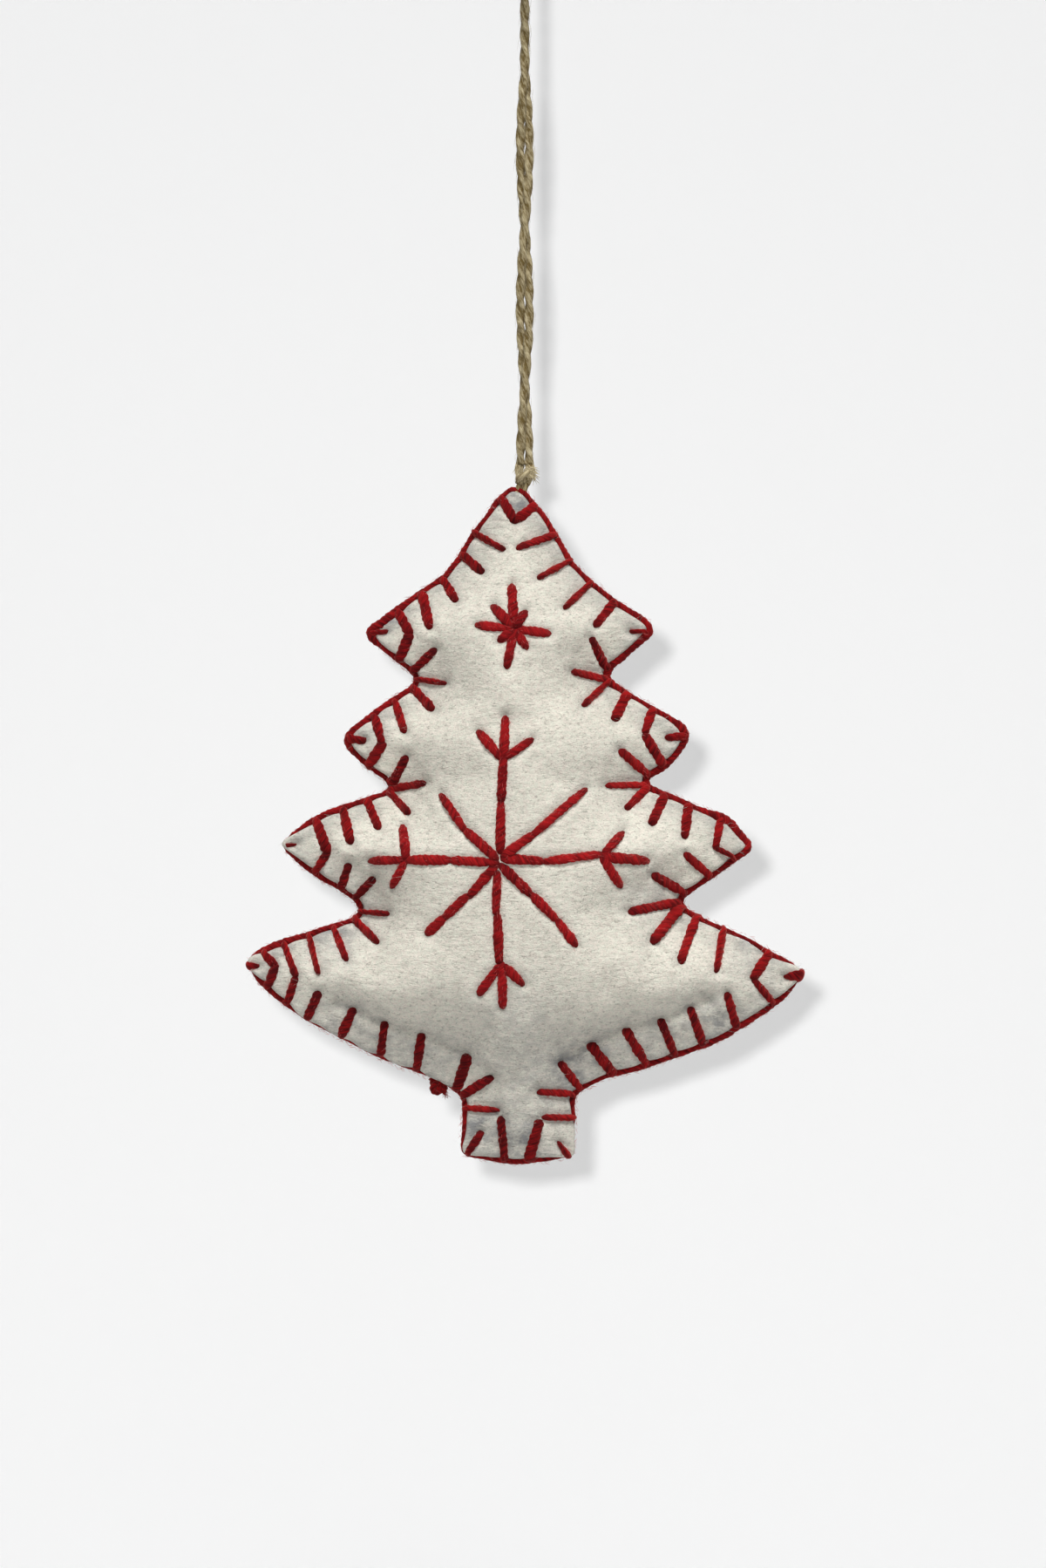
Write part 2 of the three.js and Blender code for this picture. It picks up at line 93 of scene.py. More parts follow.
def smooth_line(points: np.ndarray, step: float) -> np.ndarray:
    """Runs a smooth curve through points and walks along it.

    Args:
        points: The points that the curve meets, one a row.
        step: The distance between the points wanted, met as nearly as whole steps allow.

    Returns:
        Evenly spaced points, the first and last of them those given.
    """
    ends = np.vstack([points[:1], points, points[-1:]])
    share = np.linspace(0, 1, 12, endpoint=False)[:, None]
    pieces = []
    for a, b, c, d in zip(ends, ends[1:], ends[2:], ends[3:]):
        curve = 2 * b + (c - a) * share + (2 * a - 5 * b + 4 * c - d) * share**2
        pieces.append((curve + (3 * b - a - 3 * c + d) * share**3) / 2)
    dense = np.vstack([*pieces, points[-1:]])
    run = run_of(dense)
    stops = np.linspace(0, run[-1], max(2, round(run[-1] / step)) + 1)
    return np.stack([np.interp(stops, run, column) for column in dense.T], axis=1)


def to_segments(points: np.ndarray, starts: np.ndarray, ends: np.ndarray) -> np.ndarray:
    """Measures how far points of the pattern are from the nearest of some segments.

    Args:
        points: The points, one a row.
        starts: The start of each segment.
        ends: The end of each segment.

    Returns:
        One distance for each point.
    """
    along = ends - starts
    square = np.maximum((along**2).sum(1), 1e-18)
    found = []
    for chunk in np.array_split(points, max(1, len(points) // CHUNK)):
        offset = chunk[:, None] - starts
        share = np.clip((offset * along).sum(2) / square, 0, 1)
        gap = offset - share[..., None] * along
        found.append(np.sqrt((gap**2).sum(2)).min(1))
    return np.concatenate(found)


def to_loop(points: np.ndarray, loop: np.ndarray) -> np.ndarray:
    """The distance of each point from a closed loop."""
    return to_segments(points, loop, np.roll(loop, -1, axis=0))


def to_spots(points: np.ndarray, spots: np.ndarray) -> np.ndarray:
    """The distance of each point from the nearest of some spots."""
    return np.linalg.norm(points[:, None] - spots, axis=2).min(1)


@dataclass(frozen=True)
class Mark:
    """A soft mark round a spot or along a line: its strength, and how far it is felt."""

    strength: float
    reach: float

    def at(self, gap: np.ndarray) -> np.ndarray:
        """The mark at each distance from its middle."""
        return self.strength * faded(gap, self.reach)


def within(points: np.ndarray, loop: np.ndarray) -> np.ndarray:
    """Tells which points lie inside a closed loop.

    Args:
        points: The points, one a row.
        loop: The corners of the loop.

    Returns:
        True or False for each point.
    """
    x, z = points[:, :1], points[:, 1:]
    (ax, az), (bx, bz) = loop.T, np.roll(loop, -1, axis=0).T
    straddles = (az > z) != (bz > z)
    crossing = (bx - ax) * (z - az) / np.where(bz == az, 1e-12, bz - az) + ax
    return (straddles & (x < crossing)).sum(1) % 2 == 1


def pushed_in(loop: np.ndarray, distance: np.ndarray | float) -> np.ndarray:
    """The points of a clockwise loop moved square to it, into it for a positive distance."""
    along = np.roll(loop, -1, axis=0) - np.roll(loop, 1, axis=0)
    along /= np.linalg.norm(along, axis=1)[:, None]
    return loop + np.stack([along[:, 1], -along[:, 0]], axis=1) * np.reshape(distance, (-1, 1))


def lumps(points: np.ndarray, size: float, seed: float = 0.0) -> np.ndarray:
    """Smooth random values from -1 to 1 at points, changing over a given size."""
    shift = Vector((seed, seed * 1.7, seed * 0.3))
    places = np.zeros((len(points), 3))
    places[:, : points.shape[1]] = points / size
    return np.array([noise.noise(Vector(place) + shift) for place in places])


@dataclass
class Net:
    """A flat net of triangles inside a closed loop, whose corners are its first points."""

    points: np.ndarray
    faces: np.ndarray
    rim: int

    @classmethod
    def woven(cls, loop: np.ndarray, step: float, rings: tuple[float, ...],
              fixed: np.ndarray | None = None) -> Net:
        """Fills a loop with nearly even triangles.

        Args:
            loop: The corners of the loop, clockwise.
            step: The distance between the points inside.
            rings: Distances from the loop at which extra rings of points follow it.
            fixed: Points that the net must have.

        Returns:
            The net.
        """
        grid_room, fixed_room, rim_room, ring_share = step * 0.6, step * 0.55, step * 0.3, 0.94
        low, high = loop.min(0), loop.max(0)
        rows = np.arange(low[1], high[1], step * math.sqrt(3) / 2)
        grid = np.array([(x + step / 2 * (k % 2), z) for k, z in enumerate(rows)
                         for x in np.arange(low[0], high[0], step)])
        grid = grid[within(grid, loop)]
        grid = grid[to_loop(grid, loop) > max(rings, default=0) + grid_room]
        inner = [grid]
        for distance in rings:
            ring = pushed_in(loop, distance)
            inner.append(ring[within(ring, loop) & (to_loop(ring, loop) > distance * ring_share)])
        rest = np.vstack(inner)
        if fixed is not None:
            fixed = fixed[within(fixed, loop) & (to_loop(fixed, loop) > rim_room)]
            rest = np.vstack([rest[to_spots(rest, fixed) > fixed_room], fixed])
        corners = [Vector(p) for p in np.vstack([loop, rest])]
        edges = [(k, (k + 1) % len(loop)) for k in range(len(loop))]
        made = delaunay_2d_cdt(corners, edges, [], 1, 1e-9)
        origin = [found[0] for found in made[3]]
        faces = np.array([[origin[k] for k in face] for face in made[2]])
        return cls(np.vstack([loop, rest]), faces, len(loop))

    def smoothed(self, values: np.ndarray, rounds: int) -> np.ndarray:
        """Evens out values over the net and leaves those on its rim.

        Args:
            values: One value for each point.
            rounds: How often each value moves towards its neighbours' mean.

        Returns:
            The evened values.
        """
        pairs = np.vstack([self.faces[:, [0, 1]], self.faces[:, [1, 2]], self.faces[:, [2, 0]]])
        pairs = np.vstack([pairs, pairs[:, ::-1]])
        count = np.maximum(np.bincount(pairs[:, 0], minlength=len(values)), 1)
        for _ in range(rounds):
            mean = np.bincount(pairs[:, 0], values[pairs[:, 1]], minlength=len(values)) / count
            values = np.concatenate([values[: self.rim], (values + mean)[self.rim :] / 2])
        return values

    def read_at(self, values: np.ndarray, places: np.ndarray) -> np.ndarray:
        """Reads values of this net at other places of the pattern.

        Args:
            values: One value for each point of the net.
            places: The places, one a row.

        Returns:
            One value for each place.
        """
        flat = [Vector((x, z, 0)) for x, z in self.points]
        tree = BVHTree.FromPolygons(flat, self.faces.tolist())
        faces = self.faces[[tree.find_nearest(Vector((x, z, 0)))[2] for x, z in places]]
        a, b, c = (self.points[faces[:, k]] for k in range(3))
        ab, ac, ap = b - a, c - a, places - a
        area = ab[:, 0] * ac[:, 1] - ab[:, 1] * ac[:, 0]
        second = (ap[:, 0] * ac[:, 1] - ap[:, 1] * ac[:, 0]) / area
        third = (ab[:, 0] * ap[:, 1] - ab[:, 1] * ap[:, 0]) / area
        weights = np.clip(np.stack([1 - second - third, second, third], axis=1), 0, 1)
        weights /= weights.sum(1)[:, None]
        return (values[faces] * weights).sum(1)


# ---------------------------------------------------------------- meshes and materials


@dataclass
class Shell:
    """Vertices and faces on their way to a mesh, with values for its corners and points."""

    vertices: list[np.ndarray] = field(default_factory=list)
    faces: list[list[int]] = field(default_factory=list)
    corners: list[np.ndarray] = field(default_factory=list)
    values: dict[str, list[np.ndarray]] = field(default_factory=dict)
    count: int = 0

    def add(self, vertices: np.ndarray, faces: list[list[int]], corners: np.ndarray | None = None,
            **values: np.ndarray) -> None:
        """Adds a piece.

        Args:
            vertices: Its vertices, one a row.
            faces: Its faces as lists of its own vertex numbers.
            corners: The pattern place of each face corner in turn, for the material.
            values: Named values, one for each vertex.
        """
        self.faces += [[k + self.count for k in face] for face in faces]
        self.vertices.append(vertices)
        if corners is not None:
            self.corners.append(corners)
        for name, column in values.items():
            self.values.setdefault(name, []).append(column)
        self.count += len(vertices)

    def finish(self, name: str, material: bpy.types.Material) -> bpy.types.Object:
        """Makes the object.

        Args:
            name: Its name.
            material: Its finish.

        Returns:
            The object, shaded smooth.
        """
        mesh = bpy.data.meshes.new(name)
        mesh.from_pydata(np.vstack(self.vertices).tolist(), [], self.faces)
        if self.corners:
            layer = mesh.uv_layers.new(name="run")
            layer.data.foreach_set("uv", np.vstack(self.corners).astype(np.float32).ravel())
        for key, columns in self.values.items():
            attribute = mesh.attributes.new(key, "FLOAT", "POINT")
            attribute.data.foreach_set("value", np.concatenate(columns).astype(np.float32))
        mesh.polygons.foreach_set("use_smooth", [True] * len(mesh.polygons))
        mesh.materials.append(material)
        mesh.update()
        made = bpy.data.objects.new(name, mesh)
        bpy.context.collection.objects.link(made)
        return made


@dataclass(frozen=True)
class Grain:
    """Noise with its own fineness along each axis."""

    scale: tuple[float, float, float]
    detail: float = 2.0
    roughness: float = 0.5
    distortion: float = 0.0


class Sheet:
    """A node tree that is filled with short calls."""

    def __init__(self, tree: bpy.types.NodeTree) -> None:
        """Starts from an empty tree."""
        self.tree = tree
        tree.nodes.clear()

    def add(self, kind: str, inputs: dict | None = None, **settings: object) -> bpy.types.Node:
        """Adds a node.

        Args:
            kind: The node's type, without the words ShaderNode.
            inputs: What each input holds: a value, or the output that feeds it.
            settings: The node's own settings.

        Returns:
            The node.
        """
        node = self.tree.nodes.new("ShaderNode" + kind if kind[:4] != "Node" else kind)
        for name, value in settings.items():
            setattr(node, name, value)
        self.fill(node, inputs or {})
        return node

    def fill(self, node: bpy.types.Node, inputs: dict) -> None:
        """Gives a node's inputs their values, or the outputs that feed them."""
        for key, value in inputs.items():
            if isinstance(value, bpy.types.NodeSocket):
                self.tree.links.new(value, node.inputs[key])
            else:
                node.inputs[key].default_value = value

    def finish(self, inputs: dict) -> None:
        """Ends a material with the main shader."""
        shader = self.add("BsdfPrincipled", inputs)
        self.add("OutputMaterial", {"Surface": shader.outputs[0]})

    def sum(self, kind: str, first: object, second: object = 0.5, third: object = 0.5,
            clamp: bool = False) -> bpy.types.NodeSocket:
        """A math node's result."""
        inputs = {0: first, 1: second, 2: third}
        return self.add("Math", inputs, operation=kind, use_clamp=clamp).outputs[0]

    def mix(self, share: object, first: object, second: object) -> bpy.types.NodeSocket:
        """A mix of two colours."""
        return self.add("Mix", {0: share, 6: first, 7: second}, data_type="RGBA").outputs[2]

    def laid(self, body: object, colour: object, mask: object, share: float) -> bpy.types.NodeSocket:
        """A colour laid over another where a mask says, at most by a share."""
        return self.mix(self.sum("MULTIPLY", mask, share), body, colour)

    def ramp(self, value: object, low: float, high: float, start: float = 0.0,
             end: float = 1.0) -> bpy.types.NodeSocket:
        """A value of low to high laid smoothly over start to end."""
        inputs = {0: value, 1: low, 2: high, 3: start, 4: end}
        return self.add("MapRange", inputs, interpolation_type="SMOOTHSTEP").outputs[0]

    def ridge(self, value: object, width: float) -> bpy.types.NodeSocket:
        """Thin lines where noise crosses its middle: 1 on a line, nothing beyond its width."""
        off = self.sum("ABSOLUTE", self.sum("SUBTRACT", value, 0.5))
        return self.ramp(off, 0.0, width, 1.0, 0.0)

    def grain(self, vector: object, grain: Grain) -> bpy.types.NodeSocket:
        """The noise that a grain describes."""
        spread = self.add("VectorMath", {0: vector, 1: grain.scale}, operation="MULTIPLY").outputs[0]
        inputs = {"Vector": spread, "Scale": 1.0, "Detail": grain.detail,
                  "Roughness": grain.roughness, "Distortion": grain.distortion}
        return self.add("TexNoise", inputs).outputs[0]


def new_material(name: str) -> tuple[bpy.types.Material, Sheet]:
    """A new material and the sheet of its nodes."""
    made = bpy.data.materials.new(name)
    made.use_nodes = True
    return made, Sheet(made.node_tree)


def new_group(name: str, inputs: dict[str, object], outputs: dict[str, str]) -> tuple[Sheet, dict]:
    """Starts a shader node group.

    Args:
        name: Its name.
        inputs: The first value of each input, whose shape sets the socket's type.
        outputs: The socket type of each output, in short.

    Returns:
        The sheet to fill, and the group's inputs by name.
    """
    tree = bpy.data.node_groups.new(name, "ShaderNodeTree")
    sheet = Sheet(tree)
    for key, value in inputs.items():
        kind = {float: "Float", tuple: "Color"}.get(type(value), "Vector")
        socket = tree.interface.new_socket(key, in_out="INPUT", socket_type="NodeSocket" + kind)
        if value is not None:
            socket.default_value = value
    for key, kind in outputs.items():
        tree.interface.new_socket(key, in_out="OUTPUT", socket_type="NodeSocket" + kind)
    start = sheet.add("NodeGroupInput")
    return sheet, {key: start.outputs[key] for key in inputs}


class Effects:
    """The shader node groups that several finishes share.

    The grains of wool are in metres of the row frame, with z up the tree, and those of fibres in
    millimetres along the yarn and turns round it.
    """

    cloud = Grain((130, 130, 170), 4.0, 0.6)
    streak = Grain((560, 900, 1700), 5.0, 0.6, 0.3)
    patch = Grain((360, 360, 520), 4.0, 0.65)
    fine_wool = Grain((3600, 3600, 5200), 2.0, 0.6)
    crease_line = Grain((150, 460, 820), 2.0, 0.5, 0.6)
    crease_place = Grain((330, 330, 620))
    hair_line = Grain((300, 900, 1300), 1.0)
    hair_place = Grain((800, 800, 800), 1.0)
    tinge = Grain((1300, 1300, 1900), 2.0, 0.6)
    fleck = Grain((1500, 1500, 2800), 2.0, 0.6)
    warm_tinge: Colour = (0.62, 0.30, 0.26, 1)
    green_tinge: Colour = (0.36, 0.56, 0.34, 1)
    strand = Grain((0.7, 13, 1), 4.0, 0.65, 0.2)
    tuft = Grain((0.5, 2.2, 1))
    fine_fibre = Grain((2.4, 46, 1), 2.0, 0.6)
    # The near-black of painted shadow where yarn dives into a needle hole.
    hole_shadow: Colour = (0.012, 0.002, 0.003, 1)

    def __init__(self) -> None:
        """Builds each group once."""
        self.wool = self._heathered_wool()
        self.plied = self._plied_fibres()

    def _heathered_wool(self) -> bpy.types.NodeTree:
        """Felted wool: cloudy patches, streaks of nap, fine grain, a few dark hairs and painted shade.

        Returns:
            The group, with a colour and a height.
        """
        white: Colour = (1, 1, 1, 1)
        sheet, given = new_group(
            "heathered_wool",
            {"Vector": None, "Light": white, "Grey": white, "ShadeColour": white, "Hair": white,
             "ShadeAmount": 0.0, "HoleShade": 0.0},
            {"Color": "Color", "Height": "Float"},
        )
        vector, hairs = given["Vector"], given["Hair"]
        cloud = sheet.ramp(sheet.grain(vector, self.cloud), 0.3, 0.7)
        streak = sheet.grain(vector, self.streak)
        patch = sheet.grain(vector, self.patch)
        grain = sheet.grain(vector, self.fine_wool)
        line = sheet.ridge(sheet.grain(vector, self.crease_line), 0.06)
        here = sheet.ramp(sheet.grain(vector, self.crease_place), 0.42, 0.62)
        crease = sheet.sum("MULTIPLY", line, here)
        lean = sheet.add("VectorRotate", {"Vector": vector, "Angle": 0.5}, rotation_type="Y_AXIS")
        thread = sheet.ridge(sheet.grain(lean.outputs[0], self.hair_line), 0.008)
        rare = sheet.ramp(sheet.grain(vector, self.hair_place), 0.6, 0.7)
        hair = sheet.sum("MULTIPLY", thread, rare)
        tinge = sheet.ramp(sheet.grain(vector, self.tinge), 0.35, 0.65)
        worn = sheet.sum("MULTIPLY_ADD", sheet.ramp(streak, 0.34, 0.7), 0.5,
                         sheet.sum("MULTIPLY", cloud, 0.2))
        body = sheet.mix(worn, given["Light"], given["Grey"])
        body = sheet.mix(0.11, body, sheet.mix(tinge, self.warm_tinge, self.green_tinge))
        # Painted shade: the mask of shade lays the grey shade colour over the wool, broken up by blotchy
        # noise.
        blotchy = sheet.ramp(patch, 0.34, 0.66, 0.45, 1.35)
        shadow = sheet.sum("MULTIPLY", given["ShadeAmount"], blotchy, clamp=True)
        body = sheet.mix(shadow, body, given["ShadeColour"])
        # The crease lines darken the colour as painted shade, besides their bump.
        body = sheet.laid(body, hairs, crease, 0.12)
        body = sheet.laid(body, hairs, hair, 0.4)
        body = sheet.laid(body, hairs, sheet.ramp(grain, 0.3, 0.75), 0.26)
        body = sheet.laid(body, hairs, sheet.ramp(sheet.grain(vector, self.fleck), 0.56, 0.7), 0.4)
        # Painted shadow beside the needle holes, in the dark hair colour.
        body = sheet.mix(given["HoleShade"], body, hairs)
        height = sheet.sum("MULTIPLY_ADD", streak, 0.6, sheet.sum("MULTIPLY", grain, 0.35))
        height = sheet.sum("MULTIPLY_ADD", crease, -0.15, height)
        sheet.add("NodeGroupOutput", {"Color": body, "Height": height})
        return sheet.tree

    def _plied_fibres(self) -> bpy.types.NodeTree:
        """Fibres that follow the plies of a yarn or twine, with painted shade in its grooves and painted
        shadow where it dives into holes.

        Returns:
            The group, with a colour and a height.
        """
        sheet, given = new_group(
            "plied_fibres",
            {"Vector": None, "Light": (1, 1, 1, 1), "Dark": (1, 1, 1, 1), "Groove": 0.0, "Dive": 0.0,
             "Tone": 0.0, "Contrast": 0.5},
            {"Color": "Color", "Height": "Float"},
        )
        vector, dark = given["Vector"], given["Dark"]
        strand = sheet.grain(vector, self.strand)
        tuft = sheet.grain(vector, self.tuft)
        fine = sheet.grain(vector, self.fine_fibre)
        # Painted shade: the groove mask darkens the ply grooves.
        share = sheet.sum("MULTIPLY_ADD", sheet.ramp(strand, 0.32, 0.7), given["Contrast"],
                          sheet.sum("MULTIPLY", given["Groove"], 0.4))
        share = sheet.sum("ADD", share, sheet.sum("MULTIPLY", sheet.ramp(tuft, 0.35, 0.65), 0.3))
        share = sheet.sum("ADD", share, given["Tone"], clamp=True)
        body = sheet.mix(share, given["Light"], dark)
        body = sheet.laid(body, dark, sheet.ramp(fine, 0.35, 0.75), 0.25)
        # Painted shadow at the ends where the yarn dives into a hole.
        body = sheet.laid(body, self.hole_shadow, given["Dive"], 0.8)
        height = sheet.sum("MULTIPLY_ADD", fine, 0.4, strand)
        sheet.add("NodeGroupOutput", {"Color": body, "Height": height})
        return sheet.tree


@dataclass(frozen=True)
class FeltFinish:
    """Heathered wool felt: its wool, its greyer streaks, the colour of its painted shade and its dark hairs.
    """

    light: Colour
    grey: Colour
    shade_colour: Colour
    hair: Colour
    relief: float = 0.55

    def material(self, name: str, effects: Effects) -> bpy.types.Material:
        """Builds the material.

        Args:
            name: Its name.
            effects: The shared node groups.

        Returns:
            The material.
        """
        made, sheet = new_material(name)
        place = sheet.add("TexCoord").outputs["Object"]
        # The edge attribute holds painted shade, and painted light where a spot is minus; the hole attribute
        # holds painted shadow beside the needle holes.
        edge = sheet.add("Attribute", attribute_name="edge").outputs["Fac"]
        hole = sheet.add("Attribute", attribute_name="hole").outputs["Fac"]
        wool = sheet.add("Group", node_tree=effects.wool)
        sheet.fill(wool, {"Light": self.light, "Grey": self.grey, "ShadeColour": self.shade_colour, "Hair": self.hair,
                          "Vector": place, "ShadeAmount": edge, "HoleShade": hole})
        bump = sheet.add("Bump", {"Height": wool.outputs["Height"], "Strength": self.relief,
                                  "Distance": 0.5 * MM})
        sheet.finish({"Base Color": wool.outputs["Color"], "Roughness": 0.95, "Specular IOR Level": 0.15,
                      "Sheen Weight": 0.12, "Sheen Roughness": 0.6, "Normal": bump.outputs[0]})
        return made


YARN_HALO = srgb(255, 128, 120)


@dataclass(frozen=True)
class PlyFinish:
    """The fibres of a plied yarn or twine. The halo is the colour of its sheen."""

    light: Colour
    dark: Colour
    contrast: float = 0.5
    relief: float = 0.5
    sheen: float = 0.1
    roughness: float = 0.85
    halo: Colour = srgb(255, 255, 255)

    def material(self, name: str, effects: Effects) -> bpy.types.Material:
        """Builds the material.

        Args:
            name: Its name.
            effects: The shared node groups.

        Returns:
            The material.
        """
        made, sheet = new_material(name)
        ply = sheet.add("Group", node_tree=effects.plied)
        sheet.fill(ply, {"Light": self.light, "Dark": self.dark, "Contrast": self.contrast,
                         "Vector": sheet.add("UVMap", uv_map="run").outputs[0]})
        # The groove and dive attributes carry painted shade and painted shadow; tone carries random darkening
        # and, on blanket stitch legs, painted shade.
        for key in ("Groove", "Dive", "Tone"):
            read = sheet.add("Attribute", attribute_name=key.lower())
            sheet.fill(ply, {key: read.outputs["Fac"]})
        bump = sheet.add("Bump", {"Height": ply.outputs["Height"], "Strength": self.relief,
                                  "Distance": 0.2 * MM})
        sheet.finish({"Base Color": ply.outputs["Color"], "Roughness": self.roughness,
                      "Specular IOR Level": 0.08, "Sheen Weight": self.sheen, "Sheen Roughness": 0.4,
                      "Sheen Tint": self.halo, "Normal": bump.outputs[0]})
        return made


@dataclass(frozen=True)
class Finishes:
    """Every finish of the ornament."""

    felt_front: FeltFinish = FeltFinish(
        srgb(250, 245, 231), srgb(211, 207, 195), srgb(148, 148, 147), srgb(98, 95, 87))
    felt_back: FeltFinish = FeltFinish(
        srgb(248, 243, 229), srgb(209, 205, 193), srgb(148, 148, 147), srgb(98, 95, 87))
    filling: FeltFinish = FeltFinish(
        srgb(246, 245, 240), srgb(232, 231, 226), srgb(220, 220, 220), srgb(206, 205, 200), 1.0)
    edge_yarn: PlyFinish = PlyFinish(
        srgb(182, 27, 29), srgb(72, 5, 9), 0.62, 0.8, 0.5, halo=YARN_HALO)
    star_yarn: PlyFinish = PlyFinish(
        srgb(184, 29, 32), srgb(76, 6, 10), 0.6, 0.8, 0.5, halo=YARN_HALO)
    snowflake_yarn: PlyFinish = PlyFinish(
        srgb(184, 29, 32), srgb(76, 6, 10), 0.6, 0.8, 0.5, halo=YARN_HALO)
    end_yarn: PlyFinish = PlyFinish(
        srgb(150, 16, 19), srgb(58, 3, 5), 0.6, 0.8, 0.5, halo=YARN_HALO)
    yarn_hairs: PlyFinish = PlyFinish(srgb(216, 112, 106), srgb(156, 34, 36), 0.6, 0.2, 0.1)
    wool_hairs: PlyFinish = PlyFinish(srgb(240, 236, 224), srgb(150, 146, 138), 0.3, 0.2, 0.1, 0.95)
    twine: PlyFinish = PlyFinish(srgb(224, 210, 172), srgb(112, 94, 56), 0.8, 1.0, 0.05)
    knot: PlyFinish = PlyFinish(srgb(228, 214, 176), srgb(124, 104, 64), 0.75, 1.0, 0.05)
    tails: PlyFinish = PlyFinish(srgb(214, 198, 154), srgb(106, 86, 48), 0.8, 1.0, 0.05)


# ---------------------------------------------------------------- ropes and fibres


def frames_along(line: np.ndarray, closed: bool) -> tuple[np.ndarray, np.ndarray]:
    """Finds the directions across and up that turn least along a line.

    Args:
        line: The points of the line.
        closed: Whether it comes back to its start.

    Returns:
        The direction across and the direction up, at each point.
    """
    ahead, behind = np.roll(line, -1, axis=0), np.roll(line, 1, axis=0)
    if not closed:
        ahead[-1], behind[0] = line[-1], line[0]
    along = ahead - behind
    along /= np.linalg.norm(along, axis=1)[:, None]
    side = np.cross(along[0], (0.0, 1.0, 0.03))
    sides = []
    for direction in along:
        side = side - direction * (side @ direction)
        side /= np.linalg.norm(side)
        sides.append(side)
    across = np.array(sides)
    return across, np.cross(along, across)


@dataclass(frozen=True)
class Rope:
    """A plied yarn or twine, swept as one skin whose section shows its plies.

    lay is the length of a full turn of its plies, negative for the other hand. spread says how far the
    plies stand apart, waver how uneven the rope is and flat how much it is pressed flat.
    """

    radius: float
    plies: int
    lay: float
    spread: float = 0.36
    sides: int = 15
    step: float = 0.34 * MM
    waver: float = 0.14
    flat: float = 1.0
    waver_size: float = 1.6 * MM
    girth_reach: float = 1.5 * MM
    waist_reach: float = 1.2 * MM
    dive_reach: float = 2.1 * MM
    groove_depth: float = 0.3

    def section(self, turn: np.ndarray) -> np.ndarray:
        """The section's reach in each direction, as a share of the radius."""
        part = FULL_TURN / self.plies
        off = np.abs((turn + part / 2) % part - part / 2)
        square = (1 - self.spread) ** 2 - (self.spread * np.sin(off)) ** 2
        return self.spread * np.cos(off) + np.sqrt(np.maximum(square, 0.01))

    def sweep(self, shell: Shell, points: np.ndarray, taper: tuple[float, float] = (1.0, 1.0),
              dive: tuple[float, float] = (0.0, 0.0), girth: float | np.ndarray = 1.0,
              tone: float = 0.0, phase: float = 0.0, closed: bool = False,
              reach: float = 0.9 * MM, waist: float = 1.0) -> np.ndarray:
        """Lays the rope along points.

        Args:
            shell: Takes the mesh.
            points: The way, smoothed and walked in even steps.
            taper: The share of the girth left at the start and at the end.
            dive: How much painted shadow darkens the start and the end, where they go into a hole.
            girth: The share of the rope's own radius that it has, once or for each point given.
            tone: How much darker it is than its finish.
            phase: Where its plies start, in turns.
            closed: Whether the way comes back to its start.
            reach: How far from an end the taper is felt.
            waist: The share of the girth left half way along.

        Returns:
            The middle of the rope, in even steps.
        """
        line = smooth_line(np.vstack([points, points[:1]]) if closed else points, self.step)
        line = line[:-1] if closed else line
        run = run_of(line)
        to_ends = (run, run[-1] - run)
        across, up = frames_along(line, closed)
        turn = np.linspace(0, FULL_TURN, self.sides, endpoint=False)
        twist = FULL_TURN * (run / self.lay + phase)
        share = self.section(turn[None] - twist[:, None])
        if np.ndim(girth):
            pull = faded(np.linalg.norm(line[:, None] - points, axis=2), self.girth_reach)
            girth = (pull * girth).sum(1) / pull.sum(1)
        left = [faded(gap, reach) for gap in to_ends]
        width = 1 - (1 - taper[0]) * left[0] - (1 - taper[1]) * left[1]
        width *= 1 - (1 - waist) * faded(run - run[-1] / 2, self.waist_reach)
        width *= 1 + self.waver * lumps(line, self.waver_size, phase * 7)
        radii = share * (self.radius * girth * width)[:, None]
        ring = across[:, None] * np.cos(turn)[None, :, None]
        ring = ring + up[:, None] * self.flat * np.sin(turn)[None, :, None]
        vertices = (line[:, None] + ring * radii[..., None]).reshape(-1, 3)
        faces, corners = self._skin(run, twist, closed)
        gone = [faded(gap, self.dive_reach) for gap in to_ends]
        dark = np.clip(dive[0] * gone[0] + dive[1] * gone[1], 0, 1)
        # Painted shade: the grooves between the plies are darkened in the colour.
        groove = np.clip((1 - share) / self.groove_depth, 0, 1)
        shell.add(vertices, faces, corners, groove=groove.ravel(), dive=np.repeat(dark, self.sides),
                  tone=np.full(len(vertices), tone))
        return line

    def _skin(self, run: np.ndarray, twist: np.ndarray, closed: bool) -> tuple[list, np.ndarray]:
        """Joins the rings of a swept rope.

        Args:
            run: The distance of each ring from the rope's start.
            twist: How far the plies have turned at each ring.
            closed: Whether the last ring meets the first.

        Returns:
            The faces, and for each of their corners its run in mm and its turn round the plies.
        """
        rings, n, turns = len(run), self.sides, twist / FULL_TURN
        faces, corners = [], []
        for i in range(rings if closed else rings - 1):
            j = (i + 1) % rings
            last = j == 0
            low, high = run[i] / MM, ((run[i] + self.step) if last else run[j]) / MM
            lean, next_lean = turns[i], turns[i] if last else turns[j]
            for k in range(n):
                m = (k + 1) % n
                faces.append([i * n + k, i * n + m, j * n + m, j * n + k])
                corners += [(low, k / n - lean), (low, (k + 1) / n - lean),
                            (high, (k + 1) / n - next_lean), (high, k / n - next_lean)]
        if not closed:
            faces += [list(range(n))[::-1], list(range((rings - 1) * n, rings * n))]
            corners += [(0.0, 0.0)] * (2 * n)
        return faces, np.array(corners)


